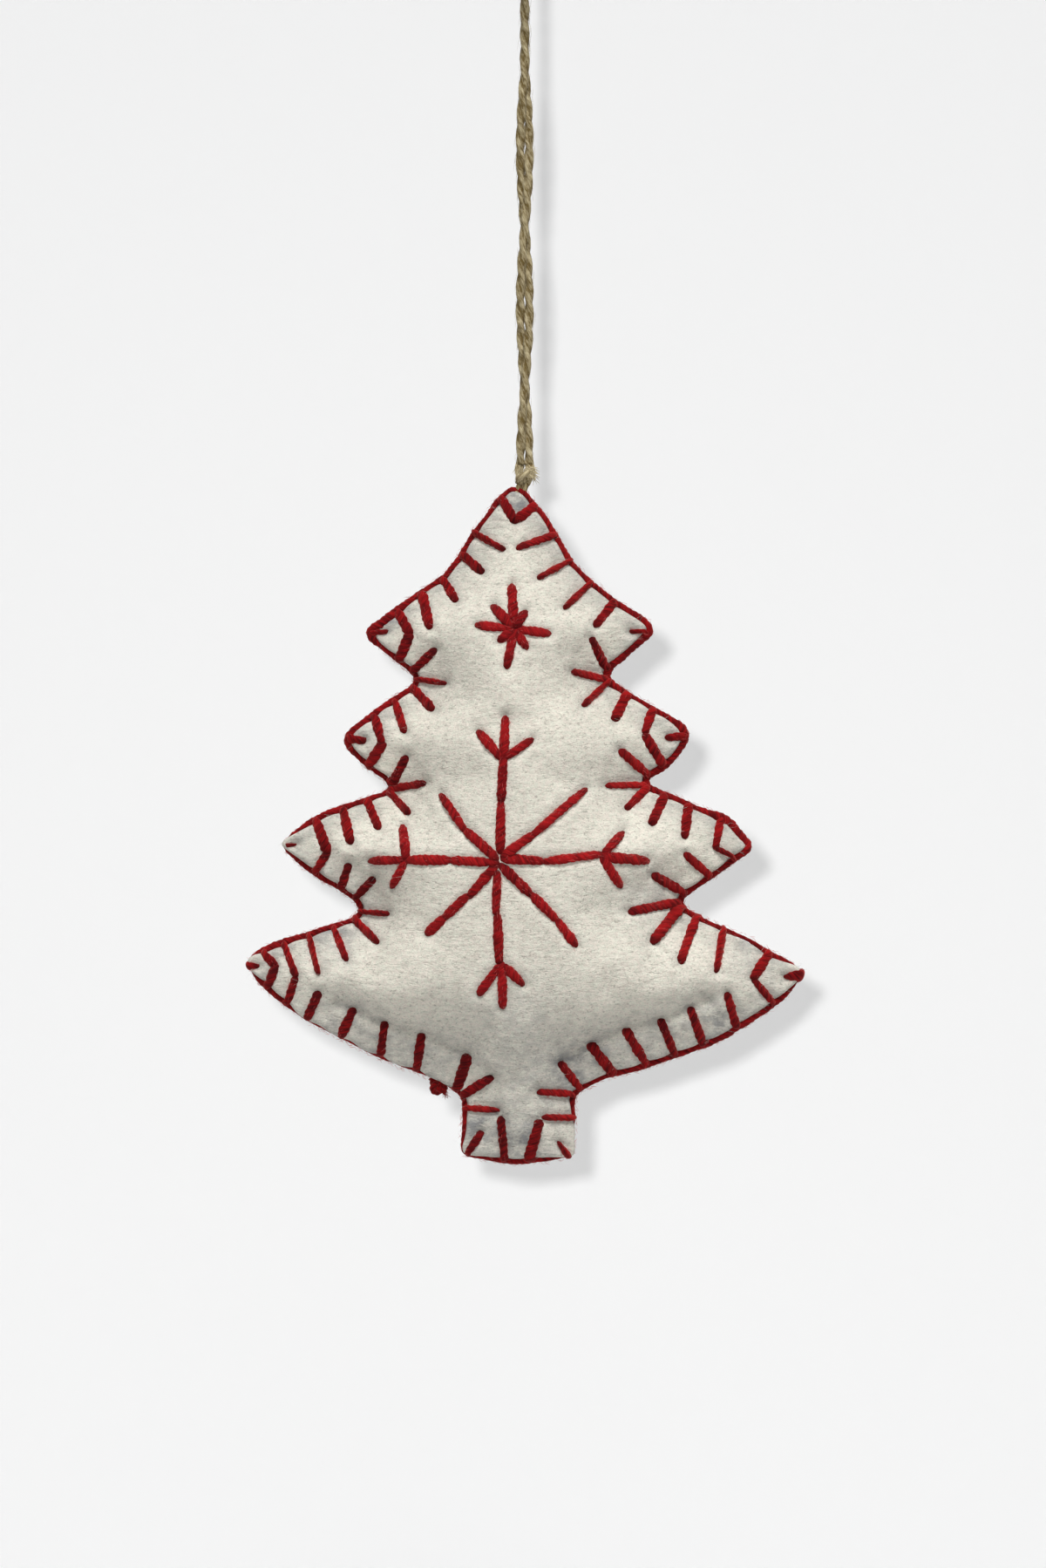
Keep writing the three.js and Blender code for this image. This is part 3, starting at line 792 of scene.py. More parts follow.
def lay_fibres(shell: Shell, roots: np.ndarray, ways: np.ndarray, bends: np.ndarray,
               widths: np.ndarray, tones: np.ndarray) -> None:
    """Adds fine tapered hairs.

    Args:
        shell: Takes the mesh.
        roots: Where each hair starts.
        ways: From each root to its tip, as if the hair were straight.
        bends: How far the middle of each hair leaves the straight line.
        widths: The thickness of each hair.
        tones: How much darker each hair is than its finish.
    """
    turn = np.linspace(0, FULL_TURN, 3, endpoint=False)
    rings = ((0.0, 0.0, 0.5), (0.5, 1.0, 0.45), (0.8, 0.7, 0.35))  # shares of way, bend and width
    faces = [[3 * i + k, 3 * i + (k + 1) % 3, 3 * i + 3 + (k + 1) % 3, 3 * i + 3 + k]
             for i in range(2) for k in range(3)]
    faces += [[6 + k, 6 + (k + 1) % 3, 9] for k in range(3)]
    plain = np.zeros(10)
    for root, way, bend, width, tone in zip(roots, ways, bends, widths, tones):
        side = np.cross(way, (0.3, 1.0, 0.2))
        side /= max(np.linalg.norm(side), 1e-12)
        up = np.cross(way, side)
        up /= max(np.linalg.norm(up), 1e-12)
        ring = side * np.cos(turn)[:, None] + up * np.sin(turn)[:, None]
        vertices = [root + way * run + bend * lean + ring * width * girth for run, lean, girth in rings]
        vertices.append((root + way)[None])
        length = np.linalg.norm(way) / MM
        corners = [(length * (i + h) / 3, k / 40)
                   for i in range(2) for k in range(3) for h in (0, 0, 1, 1)]
        corners += [(length, 0.1)] * 9
        shell.add(np.vstack(vertices), faces, np.array(corners), groove=plain, dive=plain,
                  tone=plain + tone)


# ---------------------------------------------------------------- the tree's pattern


@dataclass(frozen=True)
class Picture:
    """How a pixel of the picture stands for a point of the tree's flat pattern."""

    axis_pixel: float = 602.0
    tip_pixel: float = 556.0
    width_pixels: float = 641.0
    height_pixels: float = 779.0
    tree_width: float = 103 * MM
    tree_height: float = 125 * MM
    loop_drop: float = 93.5 * MM

    def place(self, *pixels: object) -> np.ndarray:
        """Pixels, one by one or as one table, as points of the pattern, x across and z up."""
        spots = np.reshape(np.asarray(pixels, float), (-1, 2))
        x = (spots[:, 0] - self.axis_pixel) * self.tree_width / self.width_pixels
        z = -self.loop_drop - (spots[:, 1] - self.tip_pixel) * self.tree_height / self.height_pixels
        return np.stack([x, z], axis=1)


class Side(Enum):
    """The face of the tree that a panel makes. Its value is the sign of Y."""

    FRONT = -1
    BACK = 1


@dataclass
class Pattern:
    """The tree's outline, its needle holes and how high it is stuffed.

    The tables hold pixels of the picture. The edges are stretches between corners, the left ones from
    the tip down as the right ones are. A stitch is its foot on the rim and its needle hole, and
    stitch_pixels its width. The valleys are the rows of holes where the yarn pulls the fat belly in.
    The dips, where the crown is lower, and the painted shade spots, where the wool is painted greyer as
    shade or, for a minus, painted lighter as light, are (x, z, strength, reach in mm). The felt comes out
    past the edge yarn at bare tips and thin places, and rim_fullness is (x, z, girth) of that yarn.
    """

    picture: Picture
    crown_depth: float = 10.2 * MM
    seam_width: float = 7.6 * MM
    steepness: float = 2.2
    dome_width: float = 17 * MM
    dome_share: float = 0.22
    valley_hold: Mark = Mark(0.4, 2.7 * MM)
    felt_inset: float = 0.95 * MM
    bare_inset: float = 0.25 * MM
    bare_reach: float = 3.2 * MM
    waver: float = 0.12 * MM
    scallop: float = 0.25 * MM
    scallop_reach: float = 1.3 * MM
    outline_step: float = 0.8 * MM
    longest_seam: float = 9 * MM
    tip_edge: Spots = ((586, 557), (600, 560))
    right_edges: tuple[Spots, ...] = (
        ((600, 560), (606.7, 567), (626.8, 591.7), (641.7, 617), (656.6, 642), (677, 664), (708, 689),
         (740, 710), (749.4, 720.7)),
        ((749.4, 720.7), (746, 730), (736, 738), (718, 753.7), (701, 767.7), (697.5, 777)),
        ((697.5, 777), (703, 782), (719, 791.6), (748.7, 809), (768, 821), (785, 834.5), (790, 845.6)),
        ((790, 845.6), (786, 854), (770.5, 875), (745, 892), (740.5, 899)),
        ((740.5, 899), (747, 902), (776, 913.5), (814, 930), (836.6, 939), (841, 945), (850, 956.5),
         (861.3, 967)),
        ((861.3, 967), (860, 975), (843, 989), (812, 1011.6), (786, 1029), (780.8, 1035)),
        ((780.8, 1035), (785, 1040), (812, 1055), (859, 1075), (885.7, 1092), (914, 1105), (922.5, 1118)),
        ((922.5, 1118), (916, 1129), (897, 1148), (852, 1179), (810, 1201), (743, 1224.8),
         (693.8, 1239), (659, 1257)),
        ((659, 1257), (660.6, 1275), (661.4, 1300), (661.4, 1322), (657.6, 1330)),
    )
    foot_edge: Spots = ((657.6, 1330), (633, 1333), (585.6, 1335), (552, 1331), (533.6, 1327))
    left_edges: tuple[Spots, ...] = (
        ((586, 557), (571.7, 568.7), (559.6, 586), (540, 612), (523.5, 640), (508, 659.6), (482.8, 676.5),
         (440.7, 709), (421, 722.8)),
        ((421, 722.8), (424, 732.6), (443.5, 751), (467, 769), (477.5, 780)),
        ((477.5, 780), (466.7, 790), (437, 809.4), (413.7, 827.8), (400.4, 839), (395.3, 850)),
        ((395.3, 850), (398, 858), (418.8, 879.8), (441, 896), (447.3, 903.3)),
        ((447.3, 903.3), (441, 907), (400.4, 921.6), (366, 934.6), (337, 952.5), (320.2, 967)),
        ((320.2, 967), (323.6, 974), (348, 996), (375, 1014), (407, 1035), (413, 1045)),
        ((413, 1045), (404, 1052), (375, 1062), (332.5, 1076), (294.6, 1089.7), (284.5, 1097),
         (281.6, 1107)),
        ((281.6, 1107), (285.6, 1115), (305.7, 1136.6), (348, 1170), (386, 1190), (435, 1214.7),
         (492, 1236.6), (529.7, 1256.5)),
        ((529.7, 1256.5), (530, 1280), (529, 1310), (528, 1320), (533.6, 1327)),
    )
    stitches: Spots = (
        (615, 579, 593.5, 597.5), (636, 612, 594, 629), (652.5, 644, 618, 663.5), (674.4, 669.5, 647.7, 698),
        (705, 693, 683, 718.6), (743, 729, 723, 725), (697, 763.5, 678, 732.6), (697, 774.7, 656, 770.5),
        (700, 784, 669, 810), (718, 797, 704.5, 826.6), (751.5, 813, 739, 840.6), (760, 873, 739, 843),
        (787, 845, 765, 847), (742, 889, 711, 861), (740, 898, 694, 901), (741, 904, 718, 928),
        (762, 914, 747, 946), (791, 925, 784, 961), (826, 940, 820, 972.5), (840, 987, 820, 972.5),
        (812, 1007, 785, 979), (784, 1026, 748, 1002.7), (779, 1035, 720.5, 1045), (783, 1042, 747, 1078.6),
        (798, 1052, 778.6, 1102), (831, 1067, 821, 1113), (881, 1092, 863.4, 1122), (888, 1149, 863.4, 1123),
        (917, 1119, 900, 1121), (846, 1176, 833, 1139), (809, 1199, 791, 1155.6), (774, 1212, 757, 1169),
        (742, 1224, 717, 1180), (704, 1236, 677, 1197), (668, 1252, 642, 1218), (658, 1258, 618, 1251),
        (659, 1281, 625, 1281), (650, 1323.5, 641, 1311), (610, 1333, 618, 1285.6), (577, 1332, 575, 1281),
        (533.6, 1325, 552, 1298.6), (530.5, 1269, 572, 1272.6), (530.5, 1256, 564, 1234),
        (520, 1250, 537, 1210.6), (477, 1228, 484, 1185.7), (434, 1212, 442, 1172), (389, 1190, 406, 1157),
        (352.6, 1171, 366, 1138), (328, 1153, 340, 1121), (326, 1081, 340, 1119), (303, 1133, 316, 1108.7),
        (303, 1089, 316, 1107.6), (286, 1108, 297, 1108.5), (354, 1070, 366, 1116.5), (384, 1061, 398, 1101),
        (406, 1053, 434, 1081), (413, 1046, 446, 1048), (406, 1033, 430, 1007), (388, 1022, 400.6, 991.5),
        (360, 1005, 376, 978), (362, 939, 376, 977), (329, 970, 340, 969), (392, 927, 403, 967),
        (421, 916, 435, 951), (446, 908, 470, 934), (449, 904, 489, 898), (446, 897, 467, 868),
        (420, 878, 439, 853), (427, 820, 439, 853), (399, 848, 418, 850.5), (450, 804, 465, 840.6),
        (474, 789, 497, 815), (477, 780, 512, 784.5), (471, 770, 500, 745), (455, 758, 470.5, 727.5),
        (456, 700, 470.5, 727.5), (425, 728, 444, 725), (481, 680, 494, 721), (508, 663, 523.5, 690.5),
        (527, 637.6, 553.6, 658), (544, 611, 577, 631), (571, 572, 591, 599.7),
    )
    star: Spots = (
        (590, 723, 587, 671.6), (590, 723, 603, 702), (590, 723, 631, 728), (590, 723, 605, 745.5),
        (590, 723, 581, 768.4), (590, 723, 572, 737), (590, 723, 546, 718), (590, 723, 565.6, 696),
    )
    snowflake: Spots = (
        (574, 979, 575, 918), (575, 922, 578, 866), (578, 872, 580, 822), (576, 871, 549, 839),
        (578, 871, 611, 848), (575, 984, 624, 987), (621, 988, 690, 979), (686, 982, 743, 987),
        (689, 982, 714, 954), (689, 981, 711.6, 1017), (571, 998, 569, 1049), (571, 1047, 573, 1105),
        (576, 1101, 577, 1155), (575, 1104, 549, 1139), (576, 1104, 601, 1128), (573, 989, 516, 986),
        (520, 986, 465, 986), (469, 986, 424, 987), (468, 988, 463, 947), (468, 984, 450, 1018),
        (572, 986, 534, 951), (536, 955, 506.6, 911), (575, 983, 612, 956), (609, 959, 671.4, 905),
        (573, 990, 611, 1027), (608, 1023, 640, 1056), (637, 1052, 661, 1084), (570, 991, 537, 1029),
        (539, 1024, 509, 1053), (512, 1050, 490, 1071),
    )
    stitch_pixels: tuple[float, ...] = (
        12, 11, 10, 10.5, 10, 5, 10, 9, 10, 11.5, 9.5, 10.5, 10, 10, 7.5, 10, 11, 10, 8.5, 8.5, 9.5,
        10.5, 9.5, 14, 11, 10.5, 12, 8.5, 13, 9, 9, 9.5, 10, 12, 8.5, 9, 10.5, 11, 12, 9, 9.5, 8.5,
        10.5, 12, 9.5, 8.5, 9.5, 10, 9, 8.5, 10.5, 9.5, 9, 9, 8.5, 11, 9.5, 9, 9, 9, 12, 5.5, 10, 10, 9,
        9, 10, 12, 9.5, 10, 8.5, 11, 9, 9.5, 10.5, 11.5, 7, 11, 9.5, 10, 10.5, 10,
    )
    valleys: tuple[Spots, ...] = (
        ((388, 1149), (406, 1157), (442, 1172), (484, 1185.7), (532, 1206)),
        ((812, 1147), (791, 1155.6), (757, 1169), (717, 1180), (677, 1197), (652, 1212)),
    )
    dips: Spots = (
        (585, 1235, 0.3, 15), (590, 715, 0.1, 8), (665, 770, 0.12, 6), (705, 901, 0.16, 7),
        (725, 1045, 0.16, 7),
    )
    # Painted shade where the strength is plus, painted light where it is minus.
    painted_shade_spots: Spots = (
        (591, 577, 0.65, 2), (556, 1291, 0.5, 3.5), (600, 1301, 0.75, 3.4), (447, 711, 0.7, 2.5),
        (585, 1170, 0.25, 10), (830, 1174, 0.35, 3.5), (590, 1250, 0.3, 9), (460, 893, -0.65, 5),
        (468, 755, -0.35, 6), (812, 1005, -0.5, 5), (538, 1246, -0.45, 4), (460, 1178, -0.2, 4),
        (690, 740, -0.25, 4.5), (650, 1215, 0.2, 8), (740, 1030, 0.25, 5), (385, 1082, 0.3, 5),
        (862, 1100, 0.25, 4.5), (455, 1205, 0.15, 6),
    )
    bare_tips: Spots = ((321, 965), (282, 1105), (921, 1114), (659, 1320))
    thin_places: Spots = (
        (420, 1203), (455, 1222), (385, 1186), (350, 1165), (659, 1298), (529, 1322), (496, 1238),
        (510, 1246),
    )
    rim_fullness: Spots = (
        (720, 752, 1.35), (745, 717, 1.5), (766, 878, 1.4), (790, 843, 1.6), (741, 895, 1.3),
        (697, 770, 1.35), (860, 966, 1.6), (833, 940, 1.8), (734, 805, 0.75), (808, 931, 0.8),
        (855, 1077, 0.5), (815, 1056, 0.8), (880, 1160, 1.15), (828, 1190, 1.3), (686, 1244, 0.65),
        (660, 1300, 0.5), (635, 1332, 0.6), (594, 1335, 1.3), (555, 1331, 0.75), (410, 1202, 0.65),
        (455, 1222, 0.65), (370, 1183, 0.65), (342, 1165, 0.7), (340, 990, 0.8), (395, 1028, 0.7),
        (440, 897, 0.75), (410, 870, 0.85), (462, 766, 0.7), (432, 741, 0.8), (315, 1082, 1.4),
        (450, 702, 1.5), (424, 722, 1.7), (398, 850, 1.5), (425, 820, 1.2), (530, 1290, 0.8),
        (500, 1240, 0.7), (558, 587, 0.9), (592, 557, 0.8), (640, 617, 1.15), (380, 931, 1.2),
        (322, 967, 1.3),
    )

    def __post_init__(self) -> None:
        """Draws the outline and the felt's edge inside it."""
        place = self.picture.place
        stretches = [self.tip_edge, *self.right_edges, self.foot_edge]
        stretches += [stretch[::-1] for stretch in reversed(self.left_edges)]
        outline = np.vstack([smooth_line(place(stretch), self.outline_step)[:-1] for stretch in stretches])
        for _ in range(2):
            outline = (np.roll(outline, 1, axis=0) + 2 * outline + np.roll(outline, -1, axis=0)) / 4
        self.outline = outline
        self.feet = place([stitch[:2] for stitch in self.stitches])
        self.holes = place([stitch[2:] for stitch in self.stitches])
        steps = np.roll(self.holes, -1, axis=0)
        short = np.linalg.norm(steps - self.holes, axis=1) < self.longest_seam
        self.seam = (self.holes[short], steps[short])
        self.hidden = self.near(outline, place(self.bare_tips), self.bare_reach)
        self.bare = np.maximum(self.hidden, self.near(outline, place(self.thin_places), self.bare_reach))
        inset = self.felt_inset + self.waver * lumps(outline, 5 * MM, 3.1)
        inset = inset + self.scallop * self.near(outline, self.feet, self.scallop_reach)
        inset += (self.bare_inset - inset) * self.bare
        edge = pushed_in(outline, inset)
        kept = within(edge, outline) & (to_loop(edge, outline) > inset * 0.9)
        self.felt_edge = edge[kept]
        along = np.roll(self.felt_edge, -1, axis=0)
        self.pieces = ((self.felt_edge + along) / 2, np.linalg.norm(along - self.felt_edge, axis=1))
        rows = [place(row) for row in self.valleys]
        self.valley = (np.vstack([row[:-1] for row in rows]), np.vstack([row[1:] for row in rows]))

    @staticmethod
    def near(points: np.ndarray, spots: np.ndarray, reach: float) -> np.ndarray:
        """How near each point is to any of some spots: 1 on one, and falling over the reach."""
        return faded(to_spots(points, spots), reach)

    def to_valley(self, points: np.ndarray) -> np.ndarray:
        """The distance of each point from the lower rows of needle holes."""
        return to_segments(points, *self.valley)

    def at_spots(self, points: np.ndarray, spots: Spots) -> np.ndarray:
        """The sum of soft round spots at points, as the tables give them."""
        total = np.zeros(len(points))
        for x, z, strength, reach in spots:
            total += strength * self.near(points, self.picture.place((x, z)), reach * MM)
        return total

    def crown(self, points: np.ndarray) -> np.ndarray:
        """How far the filling lifts a felt at each point: a slope by the seam, and a wide low dome."""
        middles, lengths = self.pieces
        pull = []
        for chunk in np.array_split(points, max(1, len(points) // CHUNK)):
            gap = np.linalg.norm(chunk[:, None] - middles, axis=2)
            pull.append((lengths / np.maximum(gap, 0.2 * MM) ** 3).sum(1))
        from_edge = np.sqrt(2 / np.concatenate(pull))
        slope = 1 - faded(from_edge, self.seam_width, self.steepness)
        dome = 1 - faded(from_edge, self.dome_width)
        held = 1 - self.valley_hold.at(self.to_valley(points))
        held = held - self.at_spots(points, self.dips)
        return self.crown_depth * (slope + (dome - slope) * self.dome_share) * held


# ---------------------------------------------------------------- felts and filling


@dataclass
class StuffedFelts:
    """The two felts, blown up by their filling and sewn down round the edge.

    The cloth is a model of model_scale times the real size, as Blender's cloth is steadier there.
    """

    pattern: Pattern
    thickness: float = 1.5 * MM
    parting: float = 0.06 * MM
    roundness: float = 0.6 * MM
    coarse_step: float = 1.7 * MM
    fine_step: float = 0.62 * MM
    lining_step: float = 2.6 * MM
    edge_rings: tuple[float, ...] = (0.2 * MM, 0.5 * MM, 0.95 * MM)
    start_share: float = 0.9
    start_dimple: Mark = Mark(0.2 * MM, 1.2 * MM)
    shelf: Mark = Mark(0.5, 3.6 * MM)
    hole_hold: Mark = Mark(1.0, 0.5 * MM)
    valley_hold: Mark = Mark(0.5, 1.2 * MM)
    slack: float = 0.03
    least_share: float = 0.35
    most_swell: float = 1.2 * MM
    groove: Mark = Mark(0.45 * MM, 0.95 * MM)
    hole_depth: float = 0.35 * MM
    edge_pit: Mark = Mark(1.0, 0.9 * MM)
    figure_pit: Mark = Mark(0.4, 0.7 * MM)
    crease_depth: float = 0.9 * MM
    seam_crease: Mark = Mark(0.25, 1.3 * MM)
    valley_crease: Mark = Mark(1.0, 1.3 * MM)
    pucker_at: float = 2.1 * MM
    pucker: Mark = Mark(0.1 * MM, 0.9 * MM)
    unevenness: tuple = ((0.03 * MM, 2.1 * MM), (0.02 * MM, 0.9 * MM))
    # Painted shade laid into the felt's colour: by the edge, by the stitches, along the valleys and beside
    # the needle holes; tip_light lessens it at bare tips.
    edge_shade: Mark = Mark(0.36, 3.4 * MM)
    stitch_shade: Mark = Mark(0.14, 1.5 * MM)
    valley_shade: Mark = Mark(0.38, 3.2 * MM)
    valley_shade_drop: float = 1.2 * MM
    tip_light: Mark = Mark(0.7, 2.5 * MM)
    hole_shade: Mark = Mark(0.45, 0.55 * MM)
    clump_height: float = 0.3 * MM
    clump_size: float = 3 * MM
    fill_gap: float = 0.5 * MM
    model_scale: float = 20.0
    pressure: float = 3.2
    frames: int = 20

    def __post_init__(self) -> None:
        """Weaves the nets and blows the felts up."""
        pattern = self.pattern
        drawn = pattern.picture.place([stitch[2:] for stitch in pattern.snowflake + pattern.star])
        self.sewn = np.vstack([pattern.holes, drawn])
        self.coarse = Net.woven(pattern.felt_edge[::2], self.coarse_step, (), self.sewn)
        self.rise = pattern.crown(self.coarse.points)
        self.rise[: self.coarse.rim] = 0
        blown = self._cloth_blown()
        self.skins: dict[Side, bpy.types.Object] = {}
        self.trees: dict[Side, BVHTree] = {}
        self.blown = dict(zip((Side.FRONT, Side.BACK), blown))

    def _start(self) -> tuple[np.ndarray, np.ndarray]:
        """The felt's rise before it is blown up, and how firmly the yarn holds each point."""
        net, pattern, points = self.coarse, self.pattern, self.coarse.points
        depth = to_loop(points, pattern.felt_edge)
        hold = self.shelf.strength * faded(depth, self.shelf.reach, 4)
        hold = np.maximum(self.hole_hold.at(to_spots(points, pattern.holes)), hold)
        hold = np.maximum(hold, self.valley_hold.at(pattern.to_valley(points)))
        hold[: net.rim] = 1
        start = self.start_share * self.rise - self.start_dimple.at(to_spots(points, self.sewn))
        start[: net.rim] = 0
        return start, hold

    def _cloth_blown(self) -> tuple[np.ndarray, np.ndarray]:
        """Blows both felts up as cloth, held at the rim and at the needle holes.

        Returns:
            The rise of the front felt and of the back felt over the coarse net.
        """
        net, scale = self.coarse, self.model_scale
        start, hold = self._start()
        low = np.stack([net.points[:, 0], -start, net.points[:, 1]], axis=1) * scale
        high = low * (1, -1, 1)
        count = len(net.points)
        mesh = bpy.data.meshes.new("felts_as_cloth")
        faces = np.vstack([net.faces[:, ::-1], net.faces + count])
        first = low[net.faces[0, ::-1]]
        if np.cross(first[1] - first[0], first[2] - first[0])[1] > 0:
            faces = faces[:, ::-1]
        mesh.from_pydata(np.vstack([low, high]).tolist(), [], faces.tolist())
        cloth = bpy.data.objects.new("felts_as_cloth", mesh)
        bpy.context.collection.objects.link(cloth)
        group = cloth.vertex_groups.new(name="sewn")
        for k, weight in enumerate(np.concatenate([hold, hold])):
            group.add([k], float(weight), "REPLACE")
        settings = cloth.modifiers.new("felt", "CLOTH").settings
        settings.quality = 7
        settings.mass = 0.4
        settings.tension_stiffness = settings.compression_stiffness = 25
        settings.shear_stiffness = 12
        settings.bending_stiffness = 2.5
        settings.tension_damping = settings.compression_damping = 12
        settings.use_pressure = True
        settings.uniform_pressure_force = self.pressure
        settings.shrink_min = settings.shrink_max = -self.slack
        settings.vertex_group_mass = "sewn"
        settings.effector_weights.gravity = 0
        scene = bpy.context.scene
        scene.frame_start, scene.frame_end = 1, self.frames
        for frame in range(1, self.frames + 1):
            scene.frame_set(frame)
        settled = cloth.evaluated_get(bpy.context.evaluated_depsgraph_get()).to_mesh()
        moved = np.empty(len(settled.vertices) * 3)
        settled.vertices.foreach_get("co", moved)
        moved = moved.reshape(-1, 3) / scale
        bpy.data.objects.remove(cloth)
        scene.frame_set(1)
        rises = np.abs(moved[:, 1])
        for side, rise in (("front", rises[:count]), ("back", rises[count:])):
            LOG.info("cloth %s: start %.2f mm, blown %.2f mm", side, start.max() / MM, rise.max() / MM)
        least, most = self.rise * self.least_share, self.rise + self.most_swell
        return tuple(np.clip(rise, least, most) for rise in (rises[:count], rises[count:]))

    def _legs(self, side: Side) -> tuple[np.ndarray, np.ndarray]:
        """Where each stitch on one side starts and ends on the pattern."""
        pattern, place = self.pattern, self.pattern.picture.place
        starts, ends = [pattern.feet], [pattern.holes]
        if side is Side.FRONT:
            drawn = pattern.snowflake + pattern.star
            starts.append(place([stitch[:2] for stitch in drawn]))
            ends.append(place([stitch[2:] for stitch in drawn]))
        return np.vstack(starts), np.vstack(ends)

    def build(self, side: Side, name: str, material: bpy.types.Material) -> bpy.types.Object:
        """Makes one felt panel with its thickness.

        Args:
            side: The face of the tree that it makes.
            name: The object's name.
            material: Its finish.

        Returns:
            The panel.
        """
        edge = self.pattern.felt_edge
        net = Net.woven(edge, self.fine_step, self.edge_rings)
        depth, gap = to_loop(net.points, edge), to_segments(net.points, *self._legs(side))
        outer = self._outer_face(side, net, depth, gap)
        lining = Net.woven(edge, self.lining_step, ())
        hollow = np.maximum(net_rise(self.coarse, self.blown[side], lining), 0) + self.parting
        skin = np.stack([net.points[:, 0], side.value * outer, net.points[:, 1]], axis=1)
        inner = np.stack([lining.points[:, 0], side.value * hollow, lining.points[:, 1]], axis=1)
        count, rim = len(skin), net.rim
        front = oriented(skin, net.faces, side.value)
        behind = oriented(inner, lining.faces, -side.value) + count
        wall = [[k, (k + 1) % rim, count + (k + 1) % rim, count + k] for k in range(rim)]
        wall = [face if side is Side.FRONT else face[::-1] for face in wall]
        # Painted shade for the felt's colour: the edge attribute carries it by the edge, stitches, valleys
        # and spots, the hole attribute beside the needle holes.
        shade, near_hole = self._shading(side, net.points, depth, gap)
        zeros = np.zeros(len(inner))
        shell = Shell()
        shell.add(np.vstack([skin, inner]), front.tolist() + behind.tolist() + wall,
                  edge=np.concatenate([shade, zeros]), hole=np.concatenate([near_hole, zeros]))
        made = shell.finish(name, material)
        self.skins[side] = made
        self.trees[side] = BVHTree.FromPolygons(skin.tolist(), front.tolist())
        return made

    def _outer_face(self, side: Side, net: Net, depth: np.ndarray, gap: np.ndarray) -> np.ndarray:
        """Works out the felt's outer face, with the marks that the yarn presses in it.

        Args:
            side: Which panel.
            net: The panel's fine net.
            depth: The distance of each point from the felt's edge.
            gap: The distance of each point from the nearest stitch.

        Returns:
            The distance of the face from the middle plane at each point.
        """
        pattern, points = self.pattern, net.points
        rise = net.smoothed(self.coarse.read_at(self.blown[side], points), 16)
        rise[: net.rim] = 0
        inward = np.clip(self.roundness - depth, 0, None)
        cover = self.thickness - self.roundness + np.sqrt(np.maximum(self.roundness**2 - inward**2, 0))
        pit = self.edge_pit.at(to_spots(points, pattern.holes))
        if side is Side.FRONT:
            figures = self.sewn[len(pattern.holes) :]
            pit = np.maximum(pit, self.figure_pit.at(to_spots(points, figures)))
        crease = self.seam_crease.at(to_segments(points, *pattern.seam))
        crease = self.crease_depth * np.maximum(crease, self.valley_crease.at(pattern.to_valley(points)))
        seed = side.value * 5.0
        uneven = 0.1 * MM * lumps(points, 8 * MM, seed) * (1 - faded(depth, 2.5 * MM))
        for height, size in self.unevenness:
            uneven = uneven + height * lumps(points, size, seed)
        outer = self.parting + rise + cover + uneven - np.maximum(self.groove.at(gap), crease)
        outer = outer - self.hole_depth * pit + self.pucker.at(gap - self.pucker_at)
        return np.maximum(outer, self.parting + 0.45 * MM)

    def _shading(self, side: Side, points: np.ndarray, depth: np.ndarray,
                 gap: np.ndarray) -> tuple[np.ndarray, np.ndarray]:
        """Works out the painted shade of the felt's colour: by its edge, by the stitches, along the valleys
        and at listed spots, painted light where a spot is minus, lessened at bare tips; and the painted
        shadow beside each needle hole.

        Args:
            side: Which panel.
            points: The points of the panel's fine net.
            depth: The distance of each point from the felt's edge.
            gap: The distance of each point from the nearest stitch.

        Returns:
            The two values at each point, from 0 to 1.
        """
        pattern = self.pattern
        tips = pattern.picture.place(pattern.bare_tips)
        shade = self.edge_shade.at(depth) + self.stitch_shade.at(gap)
        shade += self.valley_shade.at(pattern.to_valley(points + (0, self.valley_shade_drop)))
        shade += pattern.at_spots(points, pattern.painted_shade_spots)
        shade *= 1 - self.tip_light.at(to_spots(points, tips))
        holes = pattern.holes if side is Side.BACK else self.sewn
        return np.clip(shade, 0, 1), self.hole_shade.at(to_spots(points, holes))

    def surface(self, side: Side, places: np.ndarray) -> np.ndarray:
        """The rise of a panel's outer face at places, and its rim's rise beside it.

        Args:
            side: Which panel.
            places: Places of the pattern.

        Returns:
            The distance of the face from the middle plane at each place.
        """
        tree, found = self.trees[side], []
        for x, z in places:
            hit = tree.ray_cast(Vector((x, side.value * 0.05, z)), Vector((0, -side.value, 0)))[0]
            if hit is None:
                hit = tree.find_nearest(Vector((x, side.value * MM, z)))[0]
            found.append(abs(hit.y))
        return np.array(found)

    def fill(self, name: str, material: bpy.types.Material) -> bpy.types.Object:
        """Makes the loose fibre filling between the felts.

        Args:
            name: The object's name.
            material: Its finish.

        Returns:
            The filling.
        """
        net = self.coarse
        deep = to_loop(net.points, self.pattern.felt_edge) > self.thickness
        used, kept = np.unique(net.faces[deep[net.faces].all(axis=1)], return_inverse=True)
        kept, places = kept.reshape(-1, 3), net.points[used]
        clump = self.clump_height * np.abs(lumps(places, self.clump_size, 9.0))
        halves, faces = [], []
        for k, side in enumerate(Side):
            rise = np.maximum(self.blown[side][used] - self.fill_gap - clump, 0.1 * MM)
            half = np.stack([places[:, 0], side.value * rise, places[:, 1]], axis=1)
            halves.append(half)
            faces += (oriented(half, kept, side.value) + k * len(half)).tolist()
        count = len(places)
        ways = {(a, b) for face in faces[: len(kept)] for a, b in zip(face, face[1:] + face[:1])}
        faces += [[b, a, a + count, b + count] for a, b in ways if (b, a) not in ways]
        shell = Shell()
        shell.add(np.vstack(halves), faces)
        return shell.finish(name, material)


def net_rise(coarse: Net, values: np.ndarray, net: Net) -> np.ndarray:
    """The coarse net's rise read at a finer net's points, nothing at the rim."""
    rise = coarse.read_at(values, net.points)
    rise[: net.rim] = 0
    return rise


